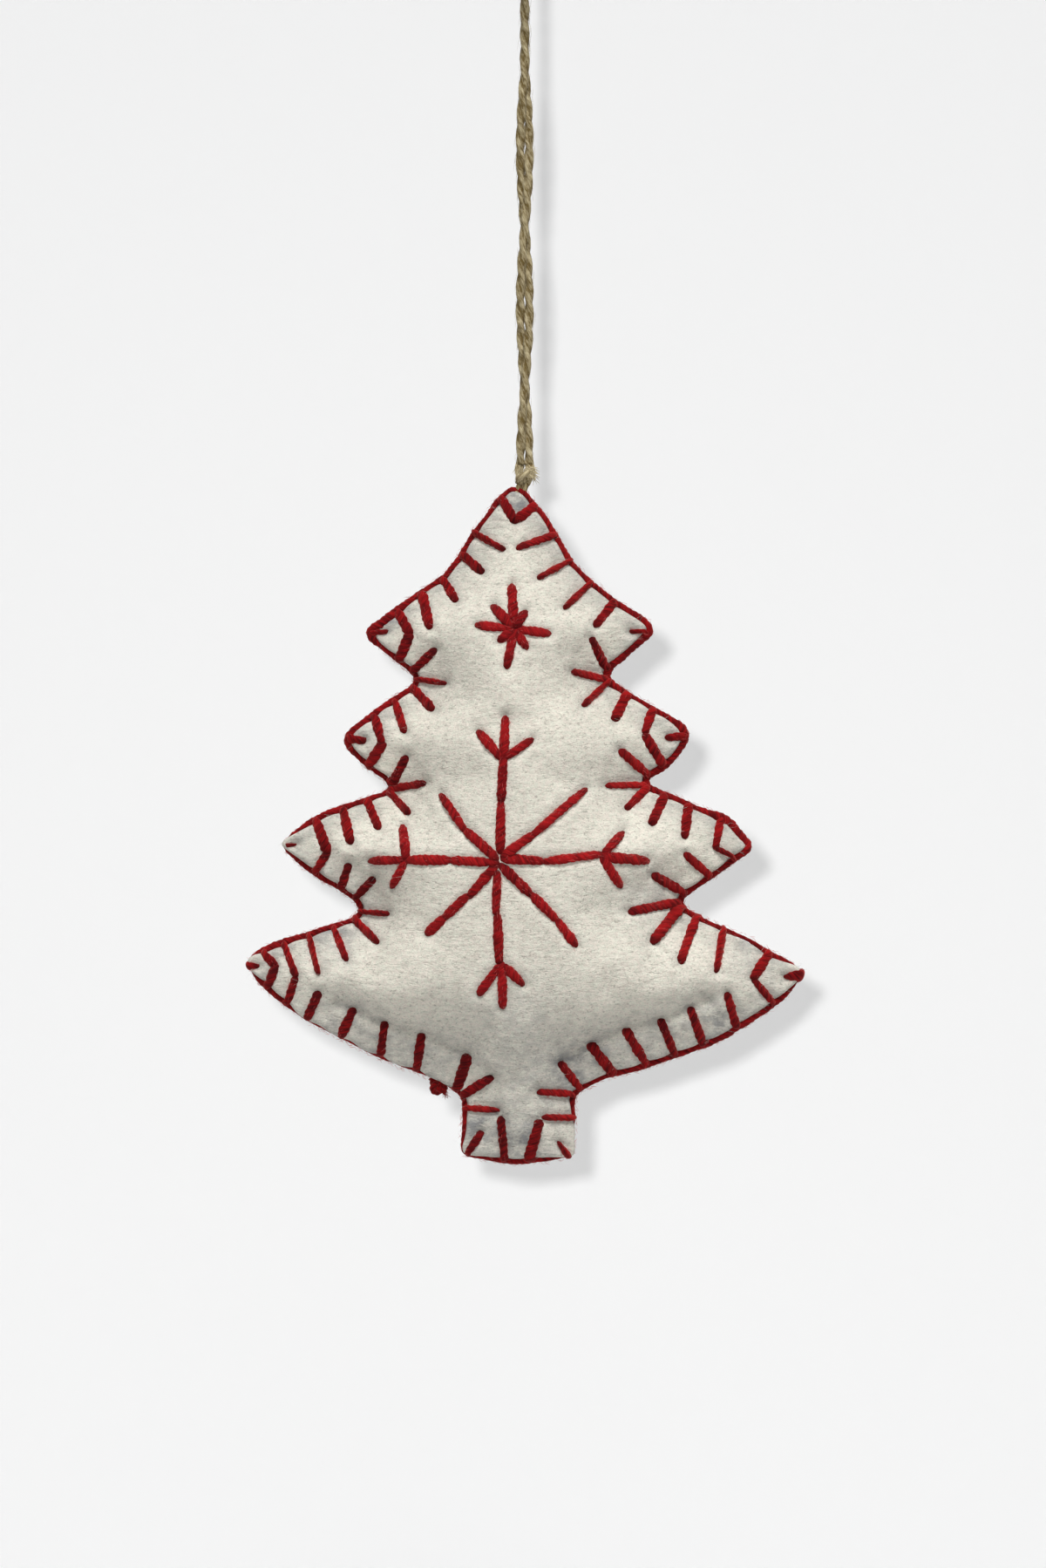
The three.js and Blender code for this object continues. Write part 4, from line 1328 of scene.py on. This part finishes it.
def oriented(vertices: np.ndarray, faces: np.ndarray, sign: int) -> np.ndarray:
    """The faces turned so that they look along Y by a sign."""
    a, b, c = (vertices[faces[:, k]] for k in range(3))
    facing = np.cross(b - a, c - a)[:, 1] * sign
    turned = faces.copy()
    turned[facing < 0] = faces[facing < 0][:, ::-1]
    return turned


# ---------------------------------------------------------------- the yarn


@dataclass
class Stitching:
    """The red yarn: blanket stitch round the edge, star, snowflake and the end knot.

    An end is the share of the girth left where a stitch dives in, how far from there the taper is
    felt, and the share of the girth left half way. The ranges of hairs are in mm.
    """

    pattern: Pattern
    felts: StuffedFelts
    rope: Rope = Rope(0.68 * MM, 3, 3.6 * MM, 0.28, waver=0.24, flat=0.62)
    rim_rope: Rope = Rope(0.66 * MM, 3, 3.3 * MM, 0.32, step=0.4 * MM, waver=0.22)
    end_rope: Rope = Rope(0.6 * MM, 3, 2.8 * MM, step=0.25 * MM)
    leg_end: tuple[float, float, float] = (0.6, 1.2 * MM, 0.72)
    lone_end: tuple[float, float, float] = (0.3, 2.2 * MM, 1.1)
    pixel_girth: float = 0.147
    star_girth: float = 1.42
    snowflake_girth: float = 1.38
    stand: float = 0.15 * MM
    stride: float = 0.8 * MM
    foot_depth: float = 1.05 * MM
    tip_reach: float = 1.85 * MM
    fullness_reach: float = 3.4 * MM
    end_place: tuple[float, float] = (503, 1245.5)
    end_hairs: int = 26
    hair_length: Range = (0.4, 1.1)
    hair_lift: Range = (0.1, 0.7)
    hair_bend: Range = (0, 0.12)
    hair_width: Range = (0.035, 0.065)
    lines: dict[str, list[np.ndarray]] = field(default_factory=dict)

    def __post_init__(self) -> None:
        """Draws the middle of the yarn that runs round the edge."""
        pattern = self.pattern
        outline, waver = pattern.outline, lumps(pattern.outline, 3.5 * MM, 8.0)
        inset = self.rim_rope.radius * 0.9 + 0.1 * MM * waver + 0.6 * MM * pattern.hidden
        line = pushed_in(outline, inset)
        kept = to_loop(line, outline) > inset * 0.9
        self.rim_line = line[kept]
        feet = Pattern.near(self.rim_line, pattern.feet, 1.2 * MM)
        behind = -0.35 * MM + 0.45 * MM * lumps(self.rim_line, 7 * MM, 2.0)
        self.rim_depth = (behind + 1.25 * MM * pattern.bare[kept]) * (1 - 0.4 * feet)

    def _onto_rim(self, spot: np.ndarray) -> tuple[np.ndarray, np.ndarray]:
        """The nearest place on the edge yarn's middle, and the way out of the tree there."""
        k = int(np.linalg.norm(self.rim_line - spot, axis=1).argmin())
        along = self.rim_line[(k + 2) % len(self.rim_line)] - self.rim_line[k - 2]
        along /= np.linalg.norm(along)
        return self.rim_line[k], np.array([-along[1], along[0]])

    def _over(self, side: Side, start: np.ndarray, end: np.ndarray, lift: float = 0.0) -> np.ndarray:
        """The yarn's way over a felt between two places, resting on it.

        Args:
            side: Which felt.
            start: The first place.
            end: The last place.
            lift: How much higher it stands in its middle.

        Returns:
            Points in the row frame.
        """
        length = np.linalg.norm(end - start)
        share = np.linspace(0, 1, max(2, round(length / self.stride)) + 1)
        places = start + (end - start) * share[:, None]
        rise = self.felts.surface(side, places) + self.stand + lift * np.sin(math.pi * share)
        if len(rise) > 3:
            rise[1:-1] = (rise[:-2] + 2 * rise[1:-1] + rise[2:]) / 4
        return np.stack([places[:, 0], side.value * rise, places[:, 1]], axis=1)

    def _dive(self, side: Side, hole: np.ndarray, towards: np.ndarray) -> np.ndarray:
        """Two points inside a needle hole, the deeper first, for yarn that leaves towards a place."""
        back = (hole - towards) / np.linalg.norm(hole - towards)
        rise = self.felts.surface(side, hole[None])[0]
        spots = []
        for shift, sunk in ((0.15 * MM, 1.3 * MM), (0.1 * MM, 0.45 * MM)):
            x, z = hole + back * shift
            spots.append((x, side.value * (rise - sunk), z))
        return np.array(spots)

    def blanket(self, name: str, material: bpy.types.Material) -> bpy.types.Object:
        """Makes the blanket stitch and the yarn that runs round the edge.

        Args:
            name: The object's name.
            material: Its finish.

        Returns:
            The stitching.
        """
        shell, pattern = Shell(), self.pattern
        rim = np.stack([self.rim_line[:, 0], self.rim_depth, self.rim_line[:, 1]], axis=1)
        girth = np.ones(len(rim))
        for x, z, fullness in pattern.rim_fullness:
            spot = pattern.picture.place((x, z))
            girth += (fullness - 1) * Pattern.near(self.rim_line, spot, self.fullness_reach)
        self.lines[name] = [self.rim_rope.sweep(shell, rim[::2], girth=girth[::2], closed=True, tone=0.12)]
        tones = lumps(pattern.feet, 4 * MM, 6.0)
        for k, (foot, hole) in enumerate(zip(pattern.feet, pattern.holes)):
            self._leg(shell, name, k, foot, hole, tones[k])
        return shell.finish(name, material)

    def _leg(self, shell: Shell, name: str, k: int, foot: np.ndarray, hole: np.ndarray,
             tone: float) -> None:
        """Lays one stitch from its hole in front round the rim to its hole behind.

        Args:
            shell: Takes the mesh.
            name: The object's name.
            k: The stitch's number.
            foot: Its foot on the rim.
            hole: Its needle hole in the front felt.
            tone: How much darker its own wool is.
        """
        tips = self.pattern.picture.place(self.pattern.bare_tips)
        rim_spot, outward = self._onto_rim(foot)
        inside = rim_spot - outward * 0.85 * MM
        under = max(0.0, (hole - foot)[1] / np.linalg.norm(hole - foot))
        lone = to_spots(foot[None], tips)[0] < self.tip_reach
        if lone:
            outward = (foot - hole) / np.linalg.norm(foot - hole)
            rim_spot, inside = foot, foot - outward * 0.5 * MM
        foot_x, foot_z = rim_spot - outward * 0.12 * MM
        turn_x, turn_z = rim_spot + outward * 0.02 * MM
        ways = []
        for side in Side:
            shift = hole - foot
            target = hole if side is Side.FRONT else foot + shift * (0.86 + 0.1 * math.sin(k * 2.3))
            over = self._over(side, target + (inside - target) * 0.07, inside)
            onto = [(foot_x, side.value * self.foot_depth, foot_z)]
            ways.append(np.vstack([self._dive(side, target, foot), over, onto]))
            self.lines[name].append(over)
        way = np.vstack([ways[0], [(turn_x, 0.0, turn_z)], ways[1][::-1]])
        taper, reach, waist = self.lone_end if lone else self.leg_end
        girth = self.pattern.stitch_pixels[k] * self.pixel_girth
        # Painted shade: legs on the left half, and legs whose foot lies below their needle hole on the
        # undersides of the tiers, are darker.
        left = 0.1 if foot[0] < 0 else 0.0
        self.rope.sweep(shell, way, (taper, taper), (1.0, 1.0), girth, left + 0.2 * tone + 0.22 * under,
                        k * 0.37, reach=reach, waist=waist)

    def drawn(self, table: Spots, girth: float, name: str,
              material: bpy.types.Material) -> bpy.types.Object:
        """Makes a figure of straight stitches on the front.

        Args:
            table: The two ends of each stitch, in pixels.
            girth: How full the yarn is, as a share of its own radius.
            name: The object's name.
            material: Its finish.

        Returns:
            The figure.
        """
        shell, place = Shell(), self.pattern.picture.place
        self.lines[name] = []
        for k, stitch in enumerate(table):
            start, end = place(stitch[:2], stitch[2:])
            inward = (end - start) / np.linalg.norm(end - start) * 0.7 * MM
            over = self._over(Side.FRONT, start + inward, end - inward, 0.3 * MM)
            way = np.vstack([self._dive(Side.FRONT, start, end), over,
                             self._dive(Side.FRONT, end, start)[::-1]])
            self.lines[name].append(over)
            self.rope.sweep(shell, way, (0.35, 0.35), (0.9, 0.9), girth + 0.12 * math.sin(k * 2.9),
                            0.12 * math.sin(k * 1.9), k * 0.41, reach=1.6 * MM)
        return shell.finish(name, material)

    def fuzz(self, figure: str, count: int, name: str, material: bpy.types.Material) -> bpy.types.Object:
        """Makes the fine hairs that stand off one figure's yarn.

        Args:
            figure: The name of the object that the yarn belongs to.
            count: How many hairs.
            name: The object's name.
            material: Their finish.

        Returns:
            The hairs.
        """
        rng = np.random.default_rng(len(figure))
        steps = [(line[:-1], np.diff(line, axis=0)) for line in self.lines[figure] if len(line) > 2]
        starts, along = (np.vstack(column) for column in zip(*steps))
        length = np.linalg.norm(along, axis=1)
        pick = rng.choice(len(starts), count, p=length / length.sum())
        along = along[pick] / length[pick, None]
        sideways, oval = (1, 0.4, 1), (1, 0.7, 1)
        out = np.cross(along, rng.normal(0, 1, (count, 3))) * sideways
        out /= np.linalg.norm(out, axis=1)[:, None]
        roots = starts[pick] + along * rng.uniform(0, 1, (count, 1)) * length[pick, None]
        roots = roots + out * oval * self.rope.radius * rng.uniform(0.7, 1.05, (count, 1))
        ways = along * rng.choice([-1, 1], (count, 1)) + out * rng.uniform(*self.hair_lift, (count, 1))
        ways *= rng.uniform(*self.hair_length, (count, 1)) * MM
        shell = Shell()
        lay_fibres(shell, roots, ways, out * rng.uniform(*self.hair_bend, (count, 1)) * MM,
                   rng.uniform(*self.hair_width, count) * MM, rng.uniform(-0.3, 0.3, count))
        return shell.finish(name, material)

    def end_knot(self, name: str, material: bpy.types.Material) -> bpy.types.Object:
        """Makes the trefoil knot and short frayed end of the edge yarn.

        Args:
            name: The object's name.
            material: Its finish.

        Returns:
            The knot.
        """
        x, z = self.pattern.picture.place(self.end_place)[0]
        centre = np.array([x, 0.0, z])
        turn = np.linspace(0, FULL_TURN, 31)
        reach = (2 + np.cos(3 * turn)) * 0.45 * MM
        knot = np.stack([np.cos(2 * turn) * reach, np.sin(3 * turn) * 0.5 * MM,
                         np.sin(2 * turn) * reach], axis=1)
        shell, thin = Shell(), self.end_rope
        thin.sweep(shell, centre + knot[:-1], closed=True)
        tail = centre + np.array([(0.1, -0.2, 0.1), (0.8, -0.5, -0.7), (1.25, -0.4, -1.35)]) * MM
        thin.sweep(shell, tail, (1.0, 0.8), (0.0, 0.3), 1.1)
        lead = centre + np.array([(-0.1, 0.1, 0.2), (-0.9, 0.1, 0.9), (-1.4, 0.1, 1.5)]) * MM
        thin.sweep(shell, lead)
        rng, count = np.random.default_rng(11), self.end_hairs
        ways = np.stack([rng.normal(0.25, 0.4, count), rng.normal(0, 0.3, count),
                         rng.uniform(-0.9, -0.2, count)], axis=1) * MM
        roots = tail[-1] + rng.normal(0, 0.2, (count, 3)) * MM
        lay_fibres(shell, roots, ways, ways * 0.1, np.full(count, 0.08 * MM), np.zeros(count))
        return shell.finish(name, material)


@dataclass
class Nap:
    """The loose wool hairs that lie over the felt. Its ranges are in mm."""

    felts: StuffedFelts
    count: int = 3200
    length: Range = (0.8, 2.4)
    lift: Range = (0.08, 0.3)
    width: Range = (0.025, 0.045)
    steepest: float = 0.4 * MM
    seed: int = 21

    def build(self, side: Side, name: str, material: bpy.types.Material) -> bpy.types.Object:
        """Scatters hairs over one panel.

        Args:
            side: Which panel.
            name: The object's name.
            material: Their finish.

        Returns:
            The hairs.
        """
        rng = np.random.default_rng(self.seed + side.value)
        mesh = self.felts.skins[side].data
        flat = np.array([v.co for v in mesh.vertices])
        outer = np.abs(flat[:, 1]) > 1.2 * MM
        roots = flat[outer][rng.integers(0, outer.sum(), self.count)]
        angle = rng.normal(0.1, 0.45, self.count) + math.pi * rng.integers(0, 2, self.count)
        length = rng.uniform(*self.length, self.count) * MM
        ways = np.stack([np.cos(angle), np.zeros(self.count), np.sin(angle)], axis=1) * length[:, None]
        rise = self.felts.surface(side, roots[:, [0, 2]] + ways[:, [0, 2]])
        ways[:, 1] = side.value * (rise + 0.1 * MM) - roots[:, 1]
        ways[:, 1] = np.clip(ways[:, 1], -self.steepest, self.steepest)
        lift = side.value * rng.uniform(*self.lift, self.count) * MM
        bends = np.stack([rng.normal(0, 0.12, self.count) * MM, lift,
                          rng.normal(0, 0.2, self.count) * MM], axis=1)
        shell = Shell()
        lay_fibres(shell, roots, ways, bends, rng.uniform(*self.width, self.count) * MM,
                   rng.uniform(0, 0.85, self.count))
        return shell.finish(name, material)


# ---------------------------------------------------------------- the twine


@dataclass
class HangingTwine:
    """The jute loop, the knot under it and the ends sewn in between the felts.

    The loop's two strands wind round each other by pair_twist degrees between loop_foot and eye_foot.
    The ranges of hairs are in mm.
    """

    picture: Picture
    radius: float = 0.85 * MM
    lay: float = 9.4 * MM
    pair_reach: float = 0.8 * MM
    knot_z: float = -91.55 * MM
    loop_foot: float = -89.9 * MM
    eye_foot: float = -17 * MM
    eye_top: float = 0.85 * MM
    eye_radius: float = 4 * MM
    pair_twist: float = 450.0
    loop_length: float = 190 * MM
    hair_count: int = 420
    hair_length: Range = (1.2, 4.0)
    hair_lean: Range = (0.02, 0.2)
    hair_width: Range = (0.03, 0.06)
    tuft_count: int = 110
    whisker_count: int = 170
    tuft_width: Range = (0.07, 0.14)
    seed: int = 5

    def route(self) -> np.ndarray:
        """The loop's way: up one strand, round the eye and down the other.

        Returns:
            Its points, as the CAD source has them.
        """
        strand = []
        for share in np.linspace(0, 1, 16):
            turn = math.radians(self.pair_twist * share)
            z = self.loop_foot + (self.eye_foot - self.loop_foot) * share
            strand.append((math.cos(turn) * self.pair_reach, math.sin(turn) * self.pair_reach, z))
        for rise, spread in ((0.3, 0.13), (0.55, 0.55), (0.76, 0.97)):
            y = self.pair_reach + (self.eye_radius - self.pair_reach) * spread
            strand.append((0.0, y, self.eye_foot + (self.eye_top - self.eye_foot) * rise))
        corner = math.sqrt(0.5)
        strand.append((0.0, self.eye_radius * corner, self.eye_top - self.eye_radius * (1 - corner)))
        up = np.array(strand)
        return np.vstack([up, [(0.0, 0.0, self.eye_top)], (up * (-1, -1, 1))[::-1]])

    def rope(self, girth: float = 1.0) -> Rope:
        """The two-ply twine, laid so that its plies lean like the middle of an S."""
        return Rope(self.radius * 1.06 * girth, 2, -self.lay, 0.32, 18, 0.45 * MM, 0.06)

    def loop(self, name: str, material: bpy.types.Material) -> tuple[bpy.types.Object, np.ndarray]:
        """Makes the loop.

        Args:
            name: The object's name.
            material: Its finish.

        Returns:
            The loop and the middle line that it follows.
        """
        shell = Shell()
        line = self.rope().sweep(shell, self.route())
        return shell.finish(name, material), line

    def loop_hairs(self, line: np.ndarray, name: str, material: bpy.types.Material) -> bpy.types.Object:
        """Makes the stray jute hairs along the loop.

        Args:
            line: The loop's middle line.
            name: The object's name.
            material: Their finish.

        Returns:
            The hairs.
        """
        rng, count = np.random.default_rng(self.seed), self.hair_count
        at = rng.integers(3, len(line) - 3, count)
        along = line[at + 2] - line[at - 2]
        along /= np.linalg.norm(along, axis=1)[:, None]
        out = np.cross(along, rng.normal(0, 1, (count, 3)))
        out /= np.linalg.norm(out, axis=1)[:, None]
        roots = line[at] + out * self.radius * 0.8
        length = rng.uniform(*self.hair_length, count)[:, None] * MM
        lean = rng.uniform(*self.hair_lean, count)[:, None]
        ways = (along * rng.choice([-1, 1], count)[:, None] + out * lean) * length
        shell = Shell()
        lay_fibres(shell, roots, ways, out * rng.uniform(0.0, 0.25, count)[:, None] * MM,
                   rng.uniform(*self.hair_width, count) * MM, rng.uniform(0, 0.6, count))
        return shell.finish(name, material)

    def knot(self, name: str, material: bpy.types.Material) -> bpy.types.Object:
        """Makes the knot: the two strands run down through one tilted wrap.

        Args:
            name: The object's name.
            material: Its finish.

        Returns:
            The knot.
        """
        shell, rope = Shell(), self.rope(0.86)
        centre = np.array((0.0, 0.0, self.knot_z))
        turn = np.linspace(0, FULL_TURN, 15)[:-1]
        wrap = np.stack([np.cos(turn) * 1.15, np.sin(turn) * 1.2, 0.75 * np.cos(turn) - 0.15], axis=1) * MM
        rope.sweep(shell, centre + wrap, closed=True)
        for sign in (-1, 1):
            strand = np.array([(sign * 0.85, 0, 1.7), (sign * 1.1, -sign * 0.25, 0.7), (sign * 1.05, 0, -0.2),
                               (sign * 0.7 - 0.2, sign * 0.2, -1.1), (sign * 0.6 - 0.4, 0, -1.8)]) * MM
            self.rope(0.95).sweep(shell, centre + strand, phase=0.25 * (1 + sign))
        return shell.finish(name, material)

    def tuft(self, name: str, material: bpy.types.Material) -> bpy.types.Object:
        """Makes the frayed end that stands out of the knot to the right, and whiskers round the knot.

        Args:
            name: The object's name.
            material: Its finish.

        Returns:
            The tuft.
        """
        rng, count = np.random.default_rng(self.seed + 1), self.tuft_count
        centre = np.array((0.0, 0.0, self.knot_z))
        roots = centre + np.stack([rng.uniform(-0.2, 0.9, count), rng.uniform(-1.5, -0.9, count),
                                   rng.normal(0.5, 0.5, count)], axis=1) * MM
        ways = np.stack([rng.uniform(0.8, 2.2, count), rng.normal(0.15, 0.3, count),
                         rng.normal(-0.7, 0.75, count)], axis=1) * MM
        bends = np.stack([rng.normal(0.1, 0.1, count), rng.normal(-0.15, 0.1, count),
                          rng.normal(0.15, 0.15, count)], axis=1) * MM
        shell = Shell()
        lay_fibres(shell, roots, ways, bends, rng.uniform(*self.tuft_width, count) * MM,
                   rng.uniform(-0.3, 0.2, count))
        count = self.whisker_count
        turn = rng.uniform(0, FULL_TURN, count)
        out = np.stack([np.cos(turn), np.sin(turn) * 0.8, np.zeros(count)], axis=1)
        roots = centre + out * rng.uniform(1.3, 1.75, count)[:, None] * MM
        roots[:, 2] += rng.uniform(-0.5, 1.6, count) * MM
        aside = out * rng.normal(-0.25, 0.3, count)[:, None]
        down = np.stack([rng.normal(0.1, 0.35, count), np.zeros(count), rng.uniform(-2, -0.8, count)], axis=1)
        ways = (aside + down) * MM
        lay_fibres(shell, roots, ways, out * rng.uniform(0, 0.3, count)[:, None] * MM,
                   rng.uniform(*self.tuft_width, count) * MM, rng.uniform(-0.3, 0.3, count))
        return shell.finish(name, material)

    def tails(self, name: str, material: bpy.types.Material) -> bpy.types.Object:
        """Makes the twine's ends below the knot, sewn in between the felts.

        Args:
            name: The object's name.
            material: Its finish.

        Returns:
            The tails.
        """
        top = self.knot_z - 1.65 * MM
        rows = self.picture.place([(597, 564), (594, 580), (595, 601)])
        shell = Shell()
        for k, (near, reach) in enumerate(((-0.62 * MM, 0.0), (0.62 * MM, 0.15 * MM))):
            way = [(near * 0.9, 0, top), *((x + near * share, reach, z)
                                           for (x, z), share in zip(rows, (0.85, 0.75, 0.7)))]
            self.rope(0.8).sweep(shell, np.array(way), (1.0, 0.8), phase=0.3 * k)
        return shell.finish(name, material)


# ---------------------------------------------------------------- the studio


@dataclass
class Studio:
    """The pale sweep behind and under the ornament, the lamps and the camera."""

    picture: Picture
    frame_pixels: tuple[float, float] = (1200.0, 1799.0)
    distance: float = 1.2
    wall: float = 0.2
    floor: float = -1.1
    cove: float = 0.1
    front: float = -0.35
    top: float = 1.0
    width: float = 1.4
    backdrop: float = 0.905
    paper: float = 0.93
    paper_glow: float = 0.055
    middle: np.ndarray = field(init=False)
    camera_lamp_side: float = 0.0255
    camera_lamp_level: float = 0.40
    top_lamp_level: float = 2.8
    room_level: float = 0.07

    def camera(self) -> None:
        """Sets the camera square to the tree, with the picture's own framing."""
        self.middle = self.picture.place([side / 2 for side in self.frame_pixels])[0]
        tall = self.frame_pixels[1] * self.picture.tree_height / self.picture.height_pixels
        data = bpy.data.cameras.new("camera")
        data.sensor_width = 36.0
        data.lens = data.sensor_width * self.distance / tall
        made = bpy.data.objects.new("camera", data)
        made.location = (self.middle[0], -self.distance, self.middle[1])
        made.rotation_euler = (math.pi / 2, 0, 0)
        bpy.context.collection.objects.link(made)
        bpy.context.scene.camera = made

    def sweep(self) -> None:
        """Makes the floor and the wall in one curved sheet, seen from its front alone."""
        start, low, cove, columns = self.wall - self.cove, self.floor + self.cove, self.cove, 5
        curve = [(start + cove * math.sin(a), low - cove * math.cos(a))
                 for a in np.linspace(0, math.pi / 2, 13)]
        profile = [(self.front, self.floor), *curve, (self.wall, 0.4), (self.wall, self.top)]
        xs = np.linspace(-self.width, self.width, columns)
        vertices = np.array([(x, y, z) for y, z in profile for x in xs])
        starts = [i * columns + k for i in range(len(profile) - 1) for k in range(columns - 1)]
        faces = [[k, k + 1, k + columns + 1, k + columns] for k in starts]
        material, sheet = new_material("pale_paper")
        paper = sheet.add("BsdfDiffuse", {"Color": (self.paper, self.paper, self.paper, 1)})
        seen = sheet.add("LightPath").outputs["Is Camera Ray"]
        glow = sheet.add("Emission", {"Color": (1, 1, 1, 1),
                                      "Strength": sheet.sum("MULTIPLY", seen, self.paper_glow)})
        both = sheet.add("AddShader", {0: paper.outputs[0], 1: glow.outputs[0]})
        gone = sheet.add("BsdfTransparent")
        behind = sheet.add("NewGeometry").outputs["Backfacing"]
        shown = sheet.add("MixShader", {0: behind, 1: both.outputs[0], 2: gone.outputs[0]})
        sheet.add("OutputMaterial", {"Surface": shown.outputs[0]})
        shell = Shell()
        shell.add(vertices, faces)
        made = shell.finish("studio_sweep", material)

    def lamps(self) -> None:
        """Sets a small lamp by the camera, a broad one above and the soft room light."""
        def put(name: str, kind: str, place: tuple, aim: tuple, **settings: object) -> None:
            """Adds a lamp that looks from a place to an aim."""
            data = bpy.data.lights.new(name, kind)
            for key, value in settings.items():
                setattr(data, key, value)
            made = bpy.data.objects.new(name, data)
            made.location = place
            made.rotation_euler = (Vector(aim) - Vector(place)).to_track_quat("-Z", "Y").to_euler()
            bpy.context.collection.objects.link(made)

        x, z = self.middle
        aim, off = (x, 0.0, z), self.camera_lamp_side
        put("camera_lamp", "AREA", (x - off, -self.distance, z + off), aim, shape="DISK", size=0.02,
            energy=self.camera_lamp_level * math.pi**2 * self.distance**2)
        put("top_lamp", "SUN", (0.1, -0.72, z + 1.15), aim, angle=math.radians(25),
            energy=self.top_lamp_level)
        world = bpy.data.worlds.new("room")
        bpy.context.scene.world = world
        world.use_nodes = True
        sheet = Sheet(world.node_tree)
        path = sheet.add("LightPath").outputs
        seen = sheet.sum("MAXIMUM", path["Is Camera Ray"],
                         sheet.sum("MAXIMUM", path["Is Glossy Ray"], path["Is Transmission Ray"]))
        light = sheet.add("Background", {"Color": (0.95, 0.98, 1.0, 1), "Strength": self.room_level})
        pale = (self.backdrop, self.backdrop, self.backdrop, 1)
        shown = sheet.add("Background", {"Color": pale, "Strength": 1.0})
        both = sheet.add("MixShader", {0: seen, 1: light.outputs[0], 2: shown.outputs[0]})
        sheet.add("OutputWorld", {"Surface": both.outputs[0]})


# ---------------------------------------------------------------- putting it together


def settle(piece: bpy.types.Object, body: str, slot: str, *nodes: str) -> None:
    """Lets a piece ride on a body and hides the CAD nodes that it stands for.

    Args:
        piece: The piece.
        body: The body's name.
        slot: Not used.
        nodes: The CAD nodes that it replaces.
    """
    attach(piece, body)
    if nodes:
        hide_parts(*nodes)
    LOG.info("%s rides on %s: %d faces", piece.name, body, len(piece.data.polygons))


def main() -> None:
    """Builds the ornament's pieces in order and dresses the scene."""
    logging.basicConfig(level=logging.INFO, format="%(message)s")
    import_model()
    bpy.context.scene.view_settings.view_transform = "Standard"
    picture, effects, finish = Picture(), Effects(), Finishes()

    studio = Studio(picture)
    studio.camera()
    studio.sweep()
    studio.lamps()

    twine = HangingTwine(picture)
    jute = finish.twine.material("jute_twine", effects)
    loop, line = twine.loop("hanging_loop", jute)
    hairs = twine.loop_hairs(line, "hanging_loop_hairs", jute)
    for piece in (loop, hairs):
        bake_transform(piece)
    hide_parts("twine_loop")
    tuple(line[0])
    LOG.info("hanging_loop: %.1f mm along its middle", run_of(line)[-1] / MM)
    knot_jute = finish.knot.material("jute_knot", effects)
    settle(twine.knot("tied_knot", knot_jute), "knot", "jute_knot", "loop_knot")
    settle(twine.tuft("knot_tuft", knot_jute), "knot", "jute_knot")
    settle(twine.tails("sewn_in_tails", finish.tails.material("jute_tails", effects)), "tree", "jute_tails",
           "twine_tails")

    pattern = Pattern(picture)
    felts = StuffedFelts(pattern)
    for side, finish_of, slot, node in (
        (Side.FRONT, finish.felt_front, "felt_front", "front_felt"),
        (Side.BACK, finish.felt_back, "felt_back", "back_felt"),
    ):
        panel = felts.build(side, f"{slot}_panel", finish_of.material(slot, effects))
        settle(panel, "tree", slot, node)
    filling = felts.fill("fibre_filling", finish.filling.material("fibre_fill", effects))
    settle(filling, "tree", "fibre_fill", "stuffing")

    yarn = Stitching(pattern, felts)
    settle(yarn.blanket("blanket_stitching", finish.edge_yarn.material("edge_yarn", effects)), "tree",
           "edge_yarn", "blanket_stitch")
    settle(yarn.drawn(pattern.star, yarn.star_girth, "star_embroidery",
                      finish.star_yarn.material("star_yarn", effects)),
           "tree", "star_yarn", "star_stitches")
    settle(yarn.drawn(pattern.snowflake, yarn.snowflake_girth, "snowflake_embroidery",
                      finish.snowflake_yarn.material("snowflake_yarn", effects)),
           "tree", "snowflake_yarn", "snowflake_stitches")
    settle(yarn.end_knot("edge_yarn_end", finish.end_yarn.material("end_yarn", effects)), "tree", "end_yarn",
           "yarn_end_knot")

    hairs = finish.yarn_hairs.material("yarn_hairs", effects)
    for figure, count, slot in (
        ("blanket_stitching", 7000, "edge_yarn"),
        ("star_embroidery", 520, "star_yarn"),
        ("snowflake_embroidery", 2500, "snowflake_yarn"),
    ):
        settle(yarn.fuzz(figure, count, f"{slot}_fuzz", hairs), "tree", slot)
    wool = finish.wool_hairs.material("wool_hairs", effects)
    nap = Nap(felts)
    settle(nap.build(Side.FRONT, "front_nap", wool), "tree", "felt_front")
    settle(nap.build(Side.BACK, "back_nap", wool), "tree", "felt_back")


if __name__ == "__main__":
    main()
